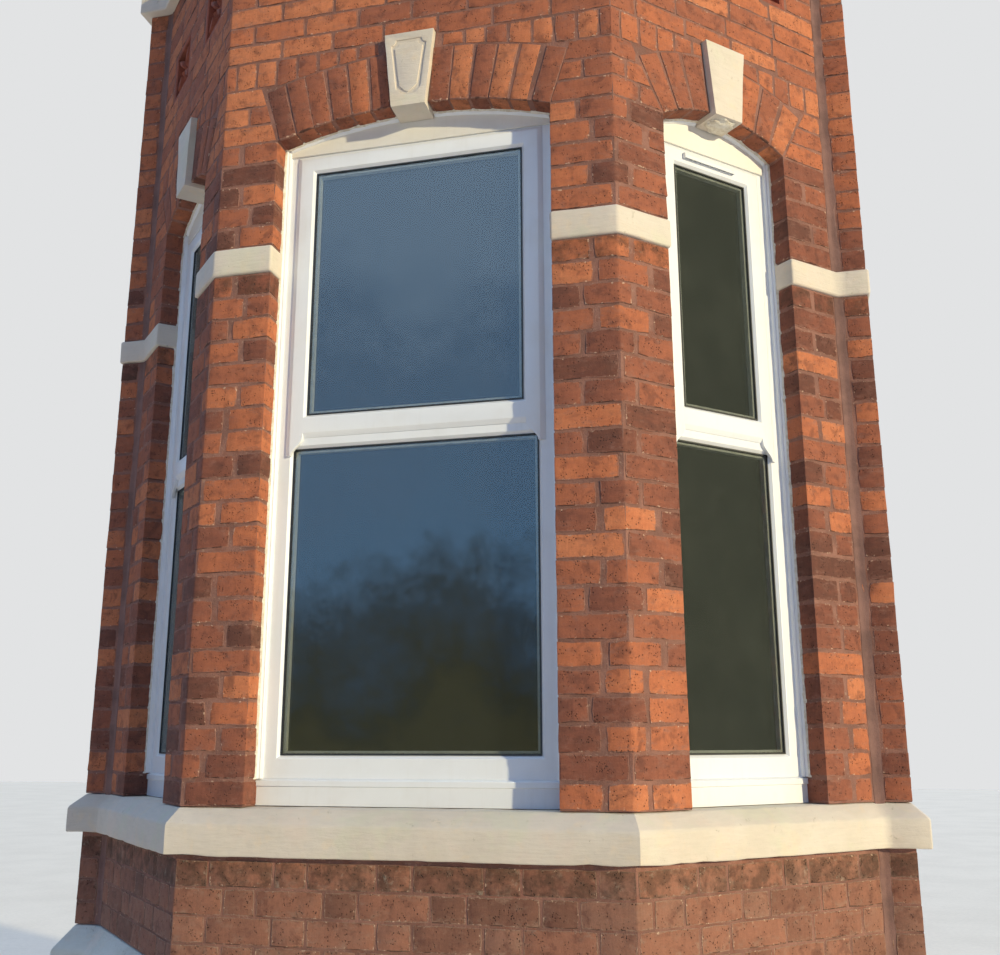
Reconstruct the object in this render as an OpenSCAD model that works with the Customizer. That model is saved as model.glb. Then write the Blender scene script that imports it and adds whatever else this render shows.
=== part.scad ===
// Canted bay window in brick and painted stone, from the ground to its parapet.
// The front faces -Y. The back plane is the face of the house wall that the bay stands against.
// Sizes are in millimetres, and the origin is the middle of the bay's footprint on the ground.

/* [Plan] */
// Width of the front face between its two corners
front_w = 1528; // [1400:2:1800]
// Depth of each canted side, measured square to the house wall
cant_run = 770; // [700:5:900]
// Angle of each canted side to the front
cant_angle = 45; // [40:1:50]
// Width of the narrow brick nib at each end
nib_w = 114; // [90:1:160]
// How far the nib stands out from the house wall
nib_out = 114; // [90:1:160]
// Thickness of the brick walls
wall_t = 229; // [215:1:240]

/* [Openings] */
// Width of the front window opening
front_open = 1070; // [900:5:1150]
// Width of each side window opening
side_open = 611; // [500:1:640]
// Width of the pier faces beside the front corners
pier_w = 229; // [200:1:240]

/* [Levels] */
// Height of one course of bricks with its joint
course = 87; // [75:1:90]
// Height of the plinth, with its sloped top
plinth_h = 630; // [450:5:800]
// Courses of brick between the plinth and the cill
dado_courses = 4; // [3:1:6]
// Height of the stone cill
cill_h = 155; // [120:5:180]
// Courses of brick between the cill and the impost stones
pier_courses = 22; // [18:1:24]
// Height of the impost stones
impost_h = 110; // [90:5:130]
// Courses of brick between the impost stones and the arches' springing
spring_courses = 5; // [3:1:6]
// Courses of brick between the impost stones and the string course
upper_courses = 20; // [18:1:22]
// Height of the string course that copes the parapet, without its weathering
string_h = 120; // [90:5:150]

/* [Stone] */
// How far the plinth stands out
plinth_out = 65; // [40:5:90]
// Height of the slope on top of the plinth
plinth_slope = 90; // [50:5:120]
// How far the cill stands out
cill_out = 52; // [30:1:80]
// Height of the slope on top of the cill
cill_slope = 52; // [20:1:60]
// How far the impost stones stand out
impost_out = 14; // [6:1:30]
// How far the string course stands out
string_out = 46; // [30:1:70]
// Height of the slope on top of the string course
string_slope = 30; // [10:1:50]

/* [Arches] */
// Rise of each arch over its opening
arch_rise = 80; // [60:1:110]
// Depth of the ring of bricks
ring_h = 229; // [200:1:240]
// Width of a keystone at its foot
key_foot = 138; // [110:1:160]
// Width of a keystone at its head
key_head = 200; // [170:1:230]
// How far a keystone hangs below the arch
key_drop = 24; // [10:1:40]
// How far a keystone rises above the ring of bricks
key_rise = 62; // [40:1:80]
// How far a keystone stands out
key_out = 30; // [15:1:45]

/* [Panels] */
// Side of a square terracotta panel
panel_side = 250; // [220:1:255]
// Distance between the middles of neighbouring panels
panel_pitch = 500; // [400:5:520]
// Courses of brick between the impost stones and the panels
panel_courses = 13; // [12:1:15]
// Depth of a panel in the wall
panel_depth = 70; // [60:1:100]
// Depth of the sunk bed of a panel
bed_depth = 34; // [20:1:38]

/* [Windows] */
// Depth of the reveal in front of a window frame
reveal = 100; // [90:1:105]
// Depth of a window frame, front to back
frame_d = 70; // [60:1:75]
// Width of the flat face of a window frame
frame_face = 66; // [62:1:72]
// Width of the splay round each pane
splay_w = 11; // [6:1:13]
// Depth of the splay round each pane
splay_d = 13; // [8:1:16]
// Height of the stub cill under a window frame
stub_h = 88; // [70:1:100]
// How far the top light stands out from the frame
light_out = 14; // [10:1:20]
// Width of the stiles and the head of the top light
stile_w = 78; // [70:1:90]
// Width of the bevel round the top light
bevel_w = 17; // [10:1:20]
// Height of the lower pane
low_glass_h = 1085; // [900:5:1090]
// Height of the transom that shows between the lower pane and the top light
transom_h = 38; // [30:1:50]
// Height of the bottom rail of the top light
bottom_rail = 86; // [80:1:100]
// Height of the pane of the front top light
top_glass_h = 979; // [800:1:980]
// How much lower the heads of the side windows are
side_drop = 19; // [0:1:30]
// How far the horns hang below the bottom rail
horn_drop = 67; // [40:1:70]

/* [Floor and roof] */
// Level of the floor inside
floor_z = 450; // [350:5:550]
// Level of the ceiling
ceiling_z = 3925; // [3915:5:3990]
// Depth of the joists
joist_d = 175; // [120:5:200]
// Thickness of a joist
joist_t = 50; // [38:1:75]
// Distance between the joists
joist_pitch = 400; // [350:10:450]
// Thickness of the boards of the floor and roof
board_t = 25; // [18:1:32]
// Height of the lead upstand against the parapet
upstand_h = 150; // [100:5:200]

/* [Hidden] */

// Plan of the outer face, from the left end round to the right end
depth = cant_run + nib_out + plinth_out;
back_y = depth / 2;
front_y = back_y - nib_out - cant_run;
cant_side = cant_run / tan(cant_angle);
half_front = front_w / 2;
half_nib = half_front + cant_side;
half_end = half_nib + nib_w;
PATH = [
    [-half_end, back_y],
    [-half_end, back_y - nib_out],
    [-half_nib, back_y - nib_out],
    [-half_front, front_y],
    [half_front, front_y],
    [half_nib, back_y - nib_out],
    [half_end, back_y - nib_out],
    [half_end, back_y]
];
LEFT_CANT = 2;
FRONT = 3;

// Bed of mortar under the cill
bed_t = 12;
// How far the profile of a course reaches into the wall
tail = 50;

// Levels from the ground up
dado_z = plinth_h;
cill_z = dado_z + dado_courses * course + bed_t;
pier_z = cill_z + cill_h;
impost_z = pier_z + pier_courses * course;
upper_z = impost_z + impost_h;
spring_z = upper_z + spring_courses * course;
string_z = upper_z + upper_courses * course;
top_z = string_z + string_h + string_slope;
panel_z = upper_z + panel_courses * course;
crown_z = spring_z + arch_rise;

// Window levels
stub_top = pier_z + stub_h;
low_glass_z = stub_top + frame_face + splay_w;
rail_z = low_glass_z + low_glass_h + transom_h;
top_glass_z = rail_z + bottom_rail;
sash_top = top_glass_z + top_glass_h + stile_w;
head_gap = 24;

// Window sections
light_inset = 50;
sash_lap = 12;
sash_d = 42;
lip = 3;
glass_t = 24;
head_out = 9;
head_t = 40;
trim_out = 22;
trim_w = 21;
bead_out = 14;
bead_w = 12;

// The keystones reach back to the boards in the arched heads
key_in = reveal - head_out;

joist_bearing = 100;
plaster_t = 15;
lead_t = 6;
roll_r = 22;
roll_pitch = 600;
eps = 0.01;
big = 4000;
$fn = 96;

// Directions along the plan

function unit(v) = v / norm(v);
function normal_out(i) = let (d = unit(PATH[i + 1] - PATH[i])) [d[1], -d[0]];
function mitre(i) =
    i == 0 ? normal_out(0)
    : i == len(PATH) - 1 ? normal_out(i - 1)
    : (normal_out(i - 1) + normal_out(i)) / (1 + normal_out(i - 1) * normal_out(i));
// Corner i of the plan, moved out by u
function corner(i, u) = PATH[i] + u * mitre(i);
// Point of the left cant's face at distance s from the front corner, set in by t
function on_cant(s, t) = PATH[3] + s * unit(PATH[2] - PATH[3]) - t * normal_out(LEFT_CANT);
// Where the cant's inner face at depth t meets the back plane
function inner_back(t) =
    let (p = corner(3, -t), d = unit(PATH[2] - PATH[3]))
    p + d * ((back_y - p[1]) / d[1]);
function mirrored(p) = [-p[0], p[1]];

// Plans of the masonry

function front_plan() = [corner(3, 0), corner(4, 0), corner(4, -wall_t), corner(3, -wall_t)];
function side_plan() =
    [PATH[3], corner(3, -wall_t), inner_back(wall_t), PATH[0], PATH[1], PATH[2]];
function front_pier_plan() = [
    PATH[3], [-front_open / 2, front_y], [-front_open / 2, front_y + wall_t],
    corner(3, -wall_t), on_cant(pier_w, wall_t), on_cant(pier_w, 0)
];
function back_pier_plan() = [
    on_cant(pier_w + side_open, 0), on_cant(pier_w + side_open, wall_t),
    inner_back(wall_t), PATH[0], PATH[1], PATH[2]
];
// Room side of the walls, with its corners moved t into or out of the wall
function room_plan(t) = [
    inner_back(wall_t - t), corner(3, t - wall_t),
    corner(4, t - wall_t), mirrored(inner_back(wall_t - t))
];

module prism(plan, z0, z1) {
    translate([0, 0, z0])
        linear_extrude(z1 - z0)
            polygon(plan);
}

// A course that runs along one stretch of the plan, mitred at both ends.
// The profile's points are [distance in from the face, height].
module run(i, profile) {
    a = PATH[i];
    span = PATH[i + 1] - a;
    reach = 100;
    intersection() {
        translate([a[0], a[1], 0])
            rotate(atan2(span[1], span[0]))
                translate([-reach, 0, 0])
                    rotate([90, 0, 90])
                        linear_extrude(norm(span) + 2 * reach)
                            polygon(profile);
        linear_extrude(2 * big)
            polygon([corner(i, reach), corner(i + 1, reach), corner(i + 1, -tail), corner(i, -tail)]);
    }
}

// A flat shape in the window's elevation, from depth y0 to depth y1
module slab(y0, y1) {
    translate([0, y1, 0])
        rotate([90, 0, 0])
            linear_extrude(y1 - y0)
                children();
}

module at_front() {
    translate([0, front_y, 0])
        children();
}

module at_left() {
    middle = on_cant(pier_w + side_open / 2, 0);
    translate([middle[0], middle[1], 0])
        rotate(-cant_angle)
            children();
}

module at_right() {
    mirror([1, 0, 0])
        at_left()
            children();
}

module rect(x0, z0, x1, z1) {
    translate([x0, z0])
        square([x1 - x0, z1 - z0]);
}

// Arches

function arch_r(w) = (w * w / 4 + arch_rise * arch_rise) / (2 * arch_rise);
function arch_angle(w) = asin(w / 2 / arch_r(w));

module arch_sector(w, r) {
    a = arch_angle(w);
    translate([0, crown_z - arch_r(w)])
        intersection() {
            circle(r, $fn = 180);
            polygon([[0, 0], [big * tan(a), big], [-big * tan(a), big]]);
        }
}

// The opening in elevation from height z0 up, with its arched head, shrunk by t
module opening(w, z0, t = 0) {
    rect(t - w / 2, z0, w / 2 - t, spring_z - t);
    intersection() {
        rect(t - w / 2, spring_z - t - 1, w / 2 - t, crown_z);
        translate([0, crown_z - arch_r(w)])
            circle(arch_r(w) - t, $fn = 180);
    }
}

// The same opening, but only its part above height z0
module head_of(w, z0, t = 0) {
    intersection() {
        opening(w, spring_z - big / 10, t);
        rect(-w / 2, z0, w / 2, crown_z);
    }
}

module keystone_face() {
    foot = crown_z - key_drop;
    head = crown_z + ring_h + key_rise;
    polygon([[-key_foot / 2, foot], [key_foot / 2, foot], [key_head / 2, head], [-key_head / 2, head]]);
}

module ring(w) {
    slab(0, wall_t)
        difference() {
            arch_sector(w, arch_r(w) + ring_h);
            translate([0, crown_z - arch_r(w)])
                circle(arch_r(w), $fn = 180);
        }
}

module keystone() {
    slab(-key_out, key_in)
        keystone_face();
}

// Outline of the shield that is cut into the front keystone, shrunk by t.
// Its upper corners are scooped out and its foot is pointed.
module shield(t) {
    top = crown_z + ring_h + key_rise - 34 - t;
    foot = crown_z + 22 + t;
    waist = 54 - t;
    scoop = 22;
    difference() {
        polygon([
            [-70 + t, top], [70 - t, top], [waist - 8, foot + 30], [waist - 30, foot + 8],
            [0, foot], [30 - waist, foot + 8], [8 - waist, foot + 30]
        ]);
        for (side = [-1, 1])
            translate([side * (70 - t), top])
                circle(scoop, $fn = 48);
    }
}

module shield_groove() {
    slab(-key_out - 1, -key_out + 5)
        difference() {
            shield(0);
            shield(9);
        }
}

// Holes that an arch and its keystone take out of the wall
module arch_hole(w) {
    slab(-eps, wall_t + eps)
        arch_sector(w, arch_r(w) + ring_h);
    keystone();
}

module panel_row(count) {
    for (i = [0 : count - 1])
        translate([(i - (count - 1) / 2) * panel_pitch, 0, 0])
            children();
}

module panel_block(y0) {
    slab(y0, panel_depth)
        rect(-panel_side / 2, panel_z, panel_side / 2, panel_z + panel_side);
}

// A leaf or petal: two balls overlap in a lens, which stands on the panel's bed
module leaf(length, width, at) {
    r = (length * length / 4 + width * width / 4) / width;
    rotate([90, 0, 0])
        translate([at, 0, 0])
            intersection() {
                translate([0, r - width / 2, 0])
                    sphere(r);
                translate([0, width / 2 - r, 0])
                    sphere(r);
            }
}

// Foliage of a panel: a boss, petals round it and a leaf into each corner
module foliage() {
    translate([0, bed_depth + 2, panel_z + panel_side / 2]) {
        sphere(17);
        for (turn = [0 : 90 : 270])
            rotate([0, turn, 0]) {
                leaf(56, 26, 40);
                for (side = [-1, 1])
                    translate([72, 0, side * 13])
                        sphere(12);
                rotate([0, 45, 0])
                    leaf(92, 36, 74);
            }
    }
}

module panel() {
    border = 17;
    fillet = 5;
    sunk = panel_side / 2 - border;
    middle = panel_z + panel_side / 2;
    difference() {
        panel_block(0);
        splayed_hole(-sunk, middle - sunk, sunk, middle + sunk, 0, 3);
        slab(1, bed_depth)
            rect(-sunk + fillet, middle - sunk + fillet, sunk - fillet, middle + sunk - fillet);
    }
    intersection() {
        foliage();
        panel_block(3);
    }
}

// Joists

module joist_row(z0) {
    intersection() {
        for (x = [-2.5 * joist_pitch : joist_pitch : 2.5 * joist_pitch])
            translate([x - joist_t / 2, front_y, z0])
                cube([joist_t, depth, joist_d]);
        prism(room_plan(joist_bearing), z0, z0 + joist_d);
    }
}

floor_joist_z = floor_z - board_t - joist_d;
roof_joist_z = ceiling_z + board_t;
roof_z = roof_joist_z + joist_d + board_t;

module joists() {
    color("burlywood") {
        joist_row(floor_joist_z);
        joist_row(roof_joist_z);
    }
}

// Plinth, with a weathered top

function plinth_profile() = [
    [tail, 0], [-plinth_out, 0], [-plinth_out, plinth_h - plinth_slope], [0, plinth_h], [tail, plinth_h]
];

module plinth_front() {
    color("tan")
        difference() {
            union() {
                prism(front_plan(), 0, plinth_h);
                run(FRONT, plinth_profile());
            }
            joist_row(floor_joist_z);
        }
}

module plinth_left() {
    color("tan")
        difference() {
            union() {
                prism(side_plan(), 0, plinth_h);
                for (i = [0 : 2])
                    run(i, plinth_profile());
            }
            joist_row(floor_joist_z);
        }
}

module plinth_right() {
    mirror([1, 0, 0])
        plinth_left();
}

// Brick dado under the cill

module dado_front() {
    color("firebrick")
        prism(front_plan(), dado_z, cill_z);
}

module dado_left() {
    color("firebrick")
        prism(side_plan(), dado_z, cill_z);
}

module dado_right() {
    mirror([1, 0, 0])
        dado_left();
}

// Stone cill, weathered in front of the windows

function cill_profile() = [
    [tail, cill_z], [-cill_out, cill_z], [-cill_out, pier_z - cill_slope], [0, pier_z], [tail, pier_z]
];

module cill_front() {
    color("wheat") {
        prism(front_plan(), cill_z, pier_z);
        run(FRONT, cill_profile());
    }
}

module cill_left() {
    color("wheat") {
        prism(side_plan(), cill_z, pier_z);
        for (i = [0 : 2])
            run(i, cill_profile());
    }
}

module cill_right() {
    mirror([1, 0, 0])
        cill_left();
}

// Brick piers, below and above their impost stones

module pier(plan) {
    color("firebrick") {
        prism(plan, pier_z, impost_z);
        prism(plan, upper_z, spring_z);
    }
}

module pier_front_left() {
    pier(front_pier_plan());
}

module pier_front_right() {
    mirror([1, 0, 0])
        pier_front_left();
}

module pier_back_left() {
    pier(back_pier_plan());
}

module pier_back_right() {
    mirror([1, 0, 0])
        pier_back_left();
}

// Impost stones, one on each pier

function impost_profile() = [
    [tail, impost_z], [-impost_out, impost_z], [-impost_out, upper_z], [tail, upper_z]
];

module impost_pair() {
    prism(front_pier_plan(), impost_z, upper_z);
    prism(back_pier_plan(), impost_z, upper_z);
    intersection() {
        for (i = [0 : 3])
            run(i, impost_profile());
        union() {
            prism([
                corner(3, tail), [-front_open / 2, front_y - tail], [-front_open / 2, front_y + tail],
                corner(3, -tail), on_cant(pier_w, tail), on_cant(pier_w, -tail)
            ], impost_z, upper_z);
            prism([
                on_cant(pier_w + side_open, -tail), on_cant(pier_w + side_open, tail), inner_back(tail),
                corner(0, tail), corner(1, tail), corner(2, tail)
            ], impost_z, upper_z);
        }
    }
}

module impost_stones() {
    color("wheat") {
        impost_pair();
        mirror([1, 0, 0])
            impost_pair();
    }
}

// Upper walls, from the springing of the arches to the string course

module upper_wall_front() {
    color("firebrick")
        difference() {
            prism(front_plan(), spring_z, string_z);
            at_front() {
                arch_hole(front_open);
                panel_row(3)
                    panel_block(-eps);
            }
            joist_row(roof_joist_z);
        }
}

module upper_wall_left() {
    color("firebrick")
        difference() {
            prism(side_plan(), spring_z, string_z);
            at_left() {
                arch_hole(side_open);
                panel_row(2)
                    panel_block(-eps);
            }
            joist_row(roof_joist_z);
        }
}

module upper_wall_right() {
    mirror([1, 0, 0])
        upper_wall_left();
}

// Segmental arches, each notched for its keystone

module arch_of(w) {
    color("indianred")
        difference() {
            ring(w);
            keystone();
        }
}

module arch_front() {
    at_front()
        arch_of(front_open);
}

module arch_left() {
    at_left()
        arch_of(side_open);
}

module arch_right() {
    at_right()
        arch_of(side_open);
}

module keystones() {
    color("wheat") {
        at_front()
            difference() {
                keystone();
                shield_groove();
            }
        at_left()
            keystone();
        at_right()
            keystone();
    }
}

module terracotta_panels() {
    color("sienna") {
        at_front()
            panel_row(3)
                panel();
        at_left()
            panel_row(2)
                panel();
        at_right()
            panel_row(2)
                panel();
    }
}

// String course that copes the parapet

function string_profile() = [
    [tail, string_z], [-string_out, string_z], [-string_out, string_z + string_h],
    [20, top_z], [tail, top_z]
];

module string_front() {
    color("wheat") {
        prism(front_plan(), string_z, top_z);
        run(FRONT, string_profile());
    }
}

module string_left() {
    color("wheat") {
        prism(side_plan(), string_z, top_z);
        for (i = [0 : 2])
            run(i, string_profile());
    }
}

module string_right() {
    mirror([1, 0, 0])
        string_left();
}

// Windows

// A shape of [depth, height] points, drawn out along the window's width
module along(x0, x1) {
    translate([x0, 0, 0])
        rotate([90, 0, 90])
            linear_extrude(x1 - x0)
                children();
}

// A rectangular hole whose mouth at depth y0 is wider all round by grow, for the depth of a splay
module splayed_hole(x0, z0, x1, z1, y0, grow, d = 3) {
    intersection() {
        prism([
            [x0 - grow, y0 - 1], [x1 + grow, y0 - 1], [x1 + grow, y0],
            [x1, y0 + d], [x0, y0 + d], [x0 - grow, y0]
        ], z0 - grow, z1 + grow);
        along(x0 - grow, x1 + grow)
            polygon([
                [y0 - 1, z0 - grow], [y0 - 1, z1 + grow], [y0, z1 + grow],
                [y0 + d, z1], [y0 + d, z0], [y0, z0 - grow]
            ]);
    }
}

// A pane's opening through a thickness from y0 to y1, splayed in front
module pane_hole(half, z0, z1, y0, y1) {
    splayed_hole(-half, z0, half, z1, y0, splay_w, splay_d);
    slab(y0 + splay_d - 1, y1 + 1)
        rect(-half, z0, half, z1);
}

function low_half(w) = w / 2 - frame_face - splay_w;
function sash_half(w) = w / 2 - light_inset;
function top_half(w) = sash_half(w) - stile_w;
// Level of the head of a top light, and of its pane
function light_head(w) = w < front_open ? sash_top - side_drop : sash_top;
function pane_head(w) = light_head(w) - stile_w;

module frame(w) {
    body = sash_half(w) - sash_lap;
    difference() {
        slab(reveal, reveal + frame_d)
            rect(-w / 2, stub_top, w / 2, light_head(w) + head_gap);
        pane_hole(low_half(w), low_glass_z, low_glass_z + low_glass_h, reveal, reveal + frame_d);
        slab(reveal - 1, reveal + frame_d + 1)
            rect(-body, rail_z + sash_lap, body, light_head(w) - sash_lap);
    }
}

module frame_front() {
    color("white")
        at_front()
            frame(front_open);
}

module frame_left() {
    color("white")
        at_left()
            frame(side_open);
}

module frame_right() {
    color("white")
        at_right()
            frame(side_open);
}

// The gap between the horns under the bottom rail. Each horn's edge is an ogee.
module horn_gap(half) {
    root = half - stile_w + splay_w;
    tip = half - 24;
    right = [
        for (t = [0 : 0.125 : 1.001])
            [root + (tip - root) * (1 - cos(180 * t)) / 2, rail_z - horn_drop * t]
    ];
    polygon(concat(
        right,
        [[tip, rail_z - horn_drop - 1], [-tip, rail_z - horn_drop - 1]],
        [for (i = [len(right) - 1 : -1 : 0]) [-right[i][0], right[i][1]]]
    ));
}

// The part of a top light that stands out from the frame, bevelled at its sides and head
module light_face(half, head) {
    front = reveal - light_out;
    foot = rail_z - horn_drop;
    intersection() {
        prism([
            [-half + bevel_w, front], [half - bevel_w, front], [half, reveal - lip],
            [half, reveal], [-half, reveal], [-half, reveal - lip]
        ], foot, head);
        along(-half, half)
            polygon([
                [front, foot], [front, head - bevel_w], [reveal - lip, head], [reveal, head], [reveal, foot]
            ]);
    }
}

// What is cut away under the bottom rail, between the horns, with the rail's bevel
module rail_foot(half) {
    front = reveal - light_out;
    root = half - stile_w + splay_w;
    along(-root, root)
        polygon([
            [front - 1, rail_z + bevel_w], [front, rail_z + bevel_w], [reveal - lip, rail_z],
            [reveal + eps, rail_z], [reveal + eps, rail_z - 1], [front - 1, rail_z - 1]
        ]);
    slab(front - 1, reveal + eps)
        horn_gap(half);
}

module top_light(w) {
    half = sash_half(w);
    body = half - sash_lap;
    difference() {
        union() {
            light_face(half, light_head(w));
            slab(reveal, reveal + sash_d)
                rect(-body, rail_z + sash_lap, body, light_head(w) - sash_lap);
        }
        pane_hole(top_half(w), top_glass_z, pane_head(w), reveal - light_out, reveal + sash_d);
        rail_foot(half);
    }
}

module top_light_front() {
    color("white")
        at_front()
            top_light(front_open);
}

module top_light_left() {
    color("white")
        at_left()
            top_light(side_open);
}

module top_light_right() {
    color("white")
        at_right()
            top_light(side_open);
}

// Panes, each seated behind its splay
module glass(w) {
    front = reveal - light_out + splay_d;
    slab(reveal + splay_d, reveal + splay_d + glass_t)
        rect(-low_half(w), low_glass_z, low_half(w), low_glass_z + low_glass_h);
    slab(front, front + glass_t)
        rect(-top_half(w), top_glass_z, top_half(w), pane_head(w));
}

module glass_front() {
    color("lightsteelblue")
        at_front()
            glass(front_open);
}

module glass_left() {
    color("lightsteelblue")
        at_left()
            glass(side_open);
}

module glass_right() {
    color("lightsteelblue")
        at_right()
            glass(side_open);
}

// Architraves that cover the joint between the frames and the brickwork.
// The section is [distance in from the brick, distance out from the frame].
ARCHITRAVE = [
    [0, 0], [0, trim_out], [7, trim_out], [10, trim_out - 3], [11, trim_out - 7],
    [16, trim_out - 7], [20, trim_out - 11], [trim_w, trim_out - 15], [trim_w, 0]
];

// Section of the rounded bead that follows an arch of radius r in front of its head panel
function bead_profile(r) = concat(
    [[r, 0]],
    [for (a = [90 : -15 : 0]) [r - bead_w * cos(a), bead_out * sin(a)]]
);

// The upright strips run up to the arch, and the bead lies between them and round the keystone's foot
module architrave(w) {
    r = arch_r(w);
    face = reveal - head_out;
    difference() {
        intersection() {
            translate([0, face, crown_z - r])
                rotate([90, 0, 0])
                    rotate_extrude($fn = 180)
                        polygon(bead_profile(r));
            slab(face - bead_out - 1, face + 1)
                rect(trim_w - w / 2, spring_z - trim_w, w / 2 - trim_w, crown_z + 1);
        }
        keystone();
    }
    intersection() {
        for (side = [0, 1])
            mirror([side, 0, 0])
                prism([for (p = ARCHITRAVE) [p[0] - w / 2, reveal - p[1]]], stub_top, crown_z);
        slab(reveal - trim_out - 1, reveal + 1)
            opening(w, stub_top);
    }
}

module architraves() {
    color("white") {
        at_front()
            architrave(front_open);
        at_left()
            architrave(side_open);
        at_right()
            architrave(side_open);
    }
}

// The board that fills the arched head over a frame and laps down to the top light
module head_panel(w) {
    gap = 3;
    slab(reveal, reveal + head_t)
        head_of(w, light_head(w) + head_gap);
    slab(reveal - head_out, reveal)
        intersection() {
            head_of(w, light_head(w) + gap);
            rect(trim_w - w / 2, rail_z, w / 2 - trim_w, crown_z);
        }
}

module head_panels() {
    color("ivory") {
        at_front()
            head_panel(front_open);
        at_left()
            head_panel(side_open);
        at_right()
            head_panel(side_open);
    }
}

// Section of a stub cill as [depth, height], with a sloped nose and a drip groove
function stub_profile() = [
    [reveal, stub_h], [reveal - 14, stub_h - 6], [reveal - 14, stub_h - 24], [reveal - 9, stub_h - 26],
    [reveal - 9, 0], [reveal + frame_d, 0], [reveal + frame_d, stub_h]
];

module stub_cill(w) {
    along(-w / 2, w / 2)
        polygon([for (p = stub_profile()) [p[0], pier_z + p[1]]]);
}

module stub_cills() {
    color("whitesmoke") {
        at_front()
            stub_cill(front_open);
        at_left()
            stub_cill(side_open);
        at_right()
            stub_cill(side_open);
    }
}

// Hooded vent on the head of the right top light, open below between its ribs and nearer the front corner
module trickle_vent() {
    off_centre = 16;
    above_pane = 27;
    vent_w = 250;
    vent_h = 24;
    out = 15;
    shell = 2.5;
    ribs = 11;
    z0 = pane_head(side_open) + above_pane;
    front = reveal - light_out;
    color("white")
        at_right()
            translate([off_centre, 0, 0]) {
                difference() {
                    along(-vent_w / 2, vent_w / 2)
                        polygon([
                            [front, z0], [front - out, z0], [front - out, z0 + vent_h - 10],
                            [front - out + 6, z0 + vent_h], [front, z0 + vent_h]
                        ]);
                    along(-vent_w / 2 + shell, vent_w / 2 - shell)
                        polygon([
                            [front - shell, z0 - 1], [front - out + shell, z0 - 1],
                            [front - out + shell, z0 + vent_h - 12], [front - shell, z0 + vent_h - 12]
                        ]);
                }
                for (i = [1 : ribs])
                    translate([-vent_w / 2 + i * vent_w / (ribs + 1) - 1, front - out + 1, z0])
                        cube([2, out - 1, vent_h - 11]);
            }
}

module window_board(w) {
    nosing = 35;
    ear = 40;
    back = wall_t + plaster_t;
    round = board_t / 2;
    slab(reveal + frame_d, back)
        rect(-w / 2, pier_z, w / 2, pier_z + board_t);
    along(-w / 2 - ear, w / 2 + ear)
        polygon(concat(
            [[back, pier_z + board_t], [back, pier_z]],
            [for (a = [-90 : 15 : 90])
                [back + nosing - round + round * cos(a), pier_z + round + round * sin(a)]]
        ));
}

module window_boards() {
    color("white") {
        at_front()
            window_board(front_open);
        at_left()
            window_board(side_open);
        at_right()
            window_board(side_open);
    }
}

// Inside

// Plaster round the inside of an opening, from the frame to the room
module reveal_plaster(w) {
    slab(reveal + frame_d, wall_t + plaster_t)
        difference() {
            opening(w, pier_z + board_t);
            opening(w, pier_z, plaster_t);
        }
}

module plaster_lining() {
    color("linen") {
        difference() {
            prism(room_plan(0), floor_z, ceiling_z);
            prism([
                inner_back(wall_t + plaster_t) + [0, 1], corner(3, -wall_t - plaster_t),
                corner(4, -wall_t - plaster_t), mirrored(inner_back(wall_t + plaster_t)) + [0, 1]
            ], floor_z - 1, ceiling_z + 1);
            at_front()
                slab(wall_t - 1, wall_t + plaster_t + 1)
                    opening(front_open, pier_z);
            at_left()
                slab(wall_t - 1, wall_t + plaster_t + 1)
                    opening(side_open, pier_z);
            at_right()
                slab(wall_t - 1, wall_t + plaster_t + 1)
                    opening(side_open, pier_z);
        }
        at_front()
            reveal_plaster(front_open);
        at_left()
            reveal_plaster(side_open);
        at_right()
            reveal_plaster(side_open);
    }
}

module floor_boards() {
    color("peru")
        prism(room_plan(0), floor_z - board_t, floor_z);
}

module ceiling() {
    color("white")
        prism(room_plan(0), ceiling_z, ceiling_z + board_t);
}

module roof_boards() {
    color("burlywood")
        prism(room_plan(0), roof_z - board_t, roof_z);
}

module lead_roof() {
    color("slategray")
        intersection() {
            prism(room_plan(0), roof_z, roof_z + upstand_h);
            union() {
                prism(room_plan(0), roof_z, roof_z + lead_t);
                difference() {
                    prism(room_plan(0), roof_z, roof_z + upstand_h);
                    prism([
                        inner_back(wall_t + lead_t) + [0, 1], corner(3, -wall_t - lead_t),
                        corner(4, -wall_t - lead_t), mirrored(inner_back(wall_t + lead_t)) + [0, 1]
                    ], roof_z - 1, roof_z + upstand_h + 1);
                }
                for (x = [-roll_pitch : roll_pitch : roll_pitch])
                    translate([x, front_y, roof_z + lead_t])
                        rotate([-90, 0, 0])
                            cylinder(h = depth, r = roll_r, $fn = 24);
            }
        }
}

plinth_front();
plinth_left();
plinth_right();
dado_front();
dado_left();
dado_right();
cill_front();
cill_left();
cill_right();
pier_front_left();
pier_front_right();
pier_back_left();
pier_back_right();
impost_stones();
upper_wall_front();
upper_wall_left();
upper_wall_right();
arch_front();
arch_left();
arch_right();
keystones();
terracotta_panels();
string_front();
string_left();
string_right();
frame_front();
frame_left();
frame_right();
top_light_front();
top_light_left();
top_light_right();
glass_front();
glass_left();
glass_right();
architraves();
head_panels();
stub_cills();
trickle_vent();
window_boards();
plaster_lining();
floor_boards();
joists();
ceiling();
roof_boards();
lead_roof();
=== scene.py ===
"""A canted bay window: brickwork and mortar, painted stone, windows, timber and lead, in a plain studio."""

import logging
import math
import random
from dataclasses import dataclass, field
from enum import Enum
from typing import Callable, Iterable, Iterator, Optional, Sequence, Union

import bmesh
import bpy
from mathutils import Matrix, Vector, noise


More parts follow.
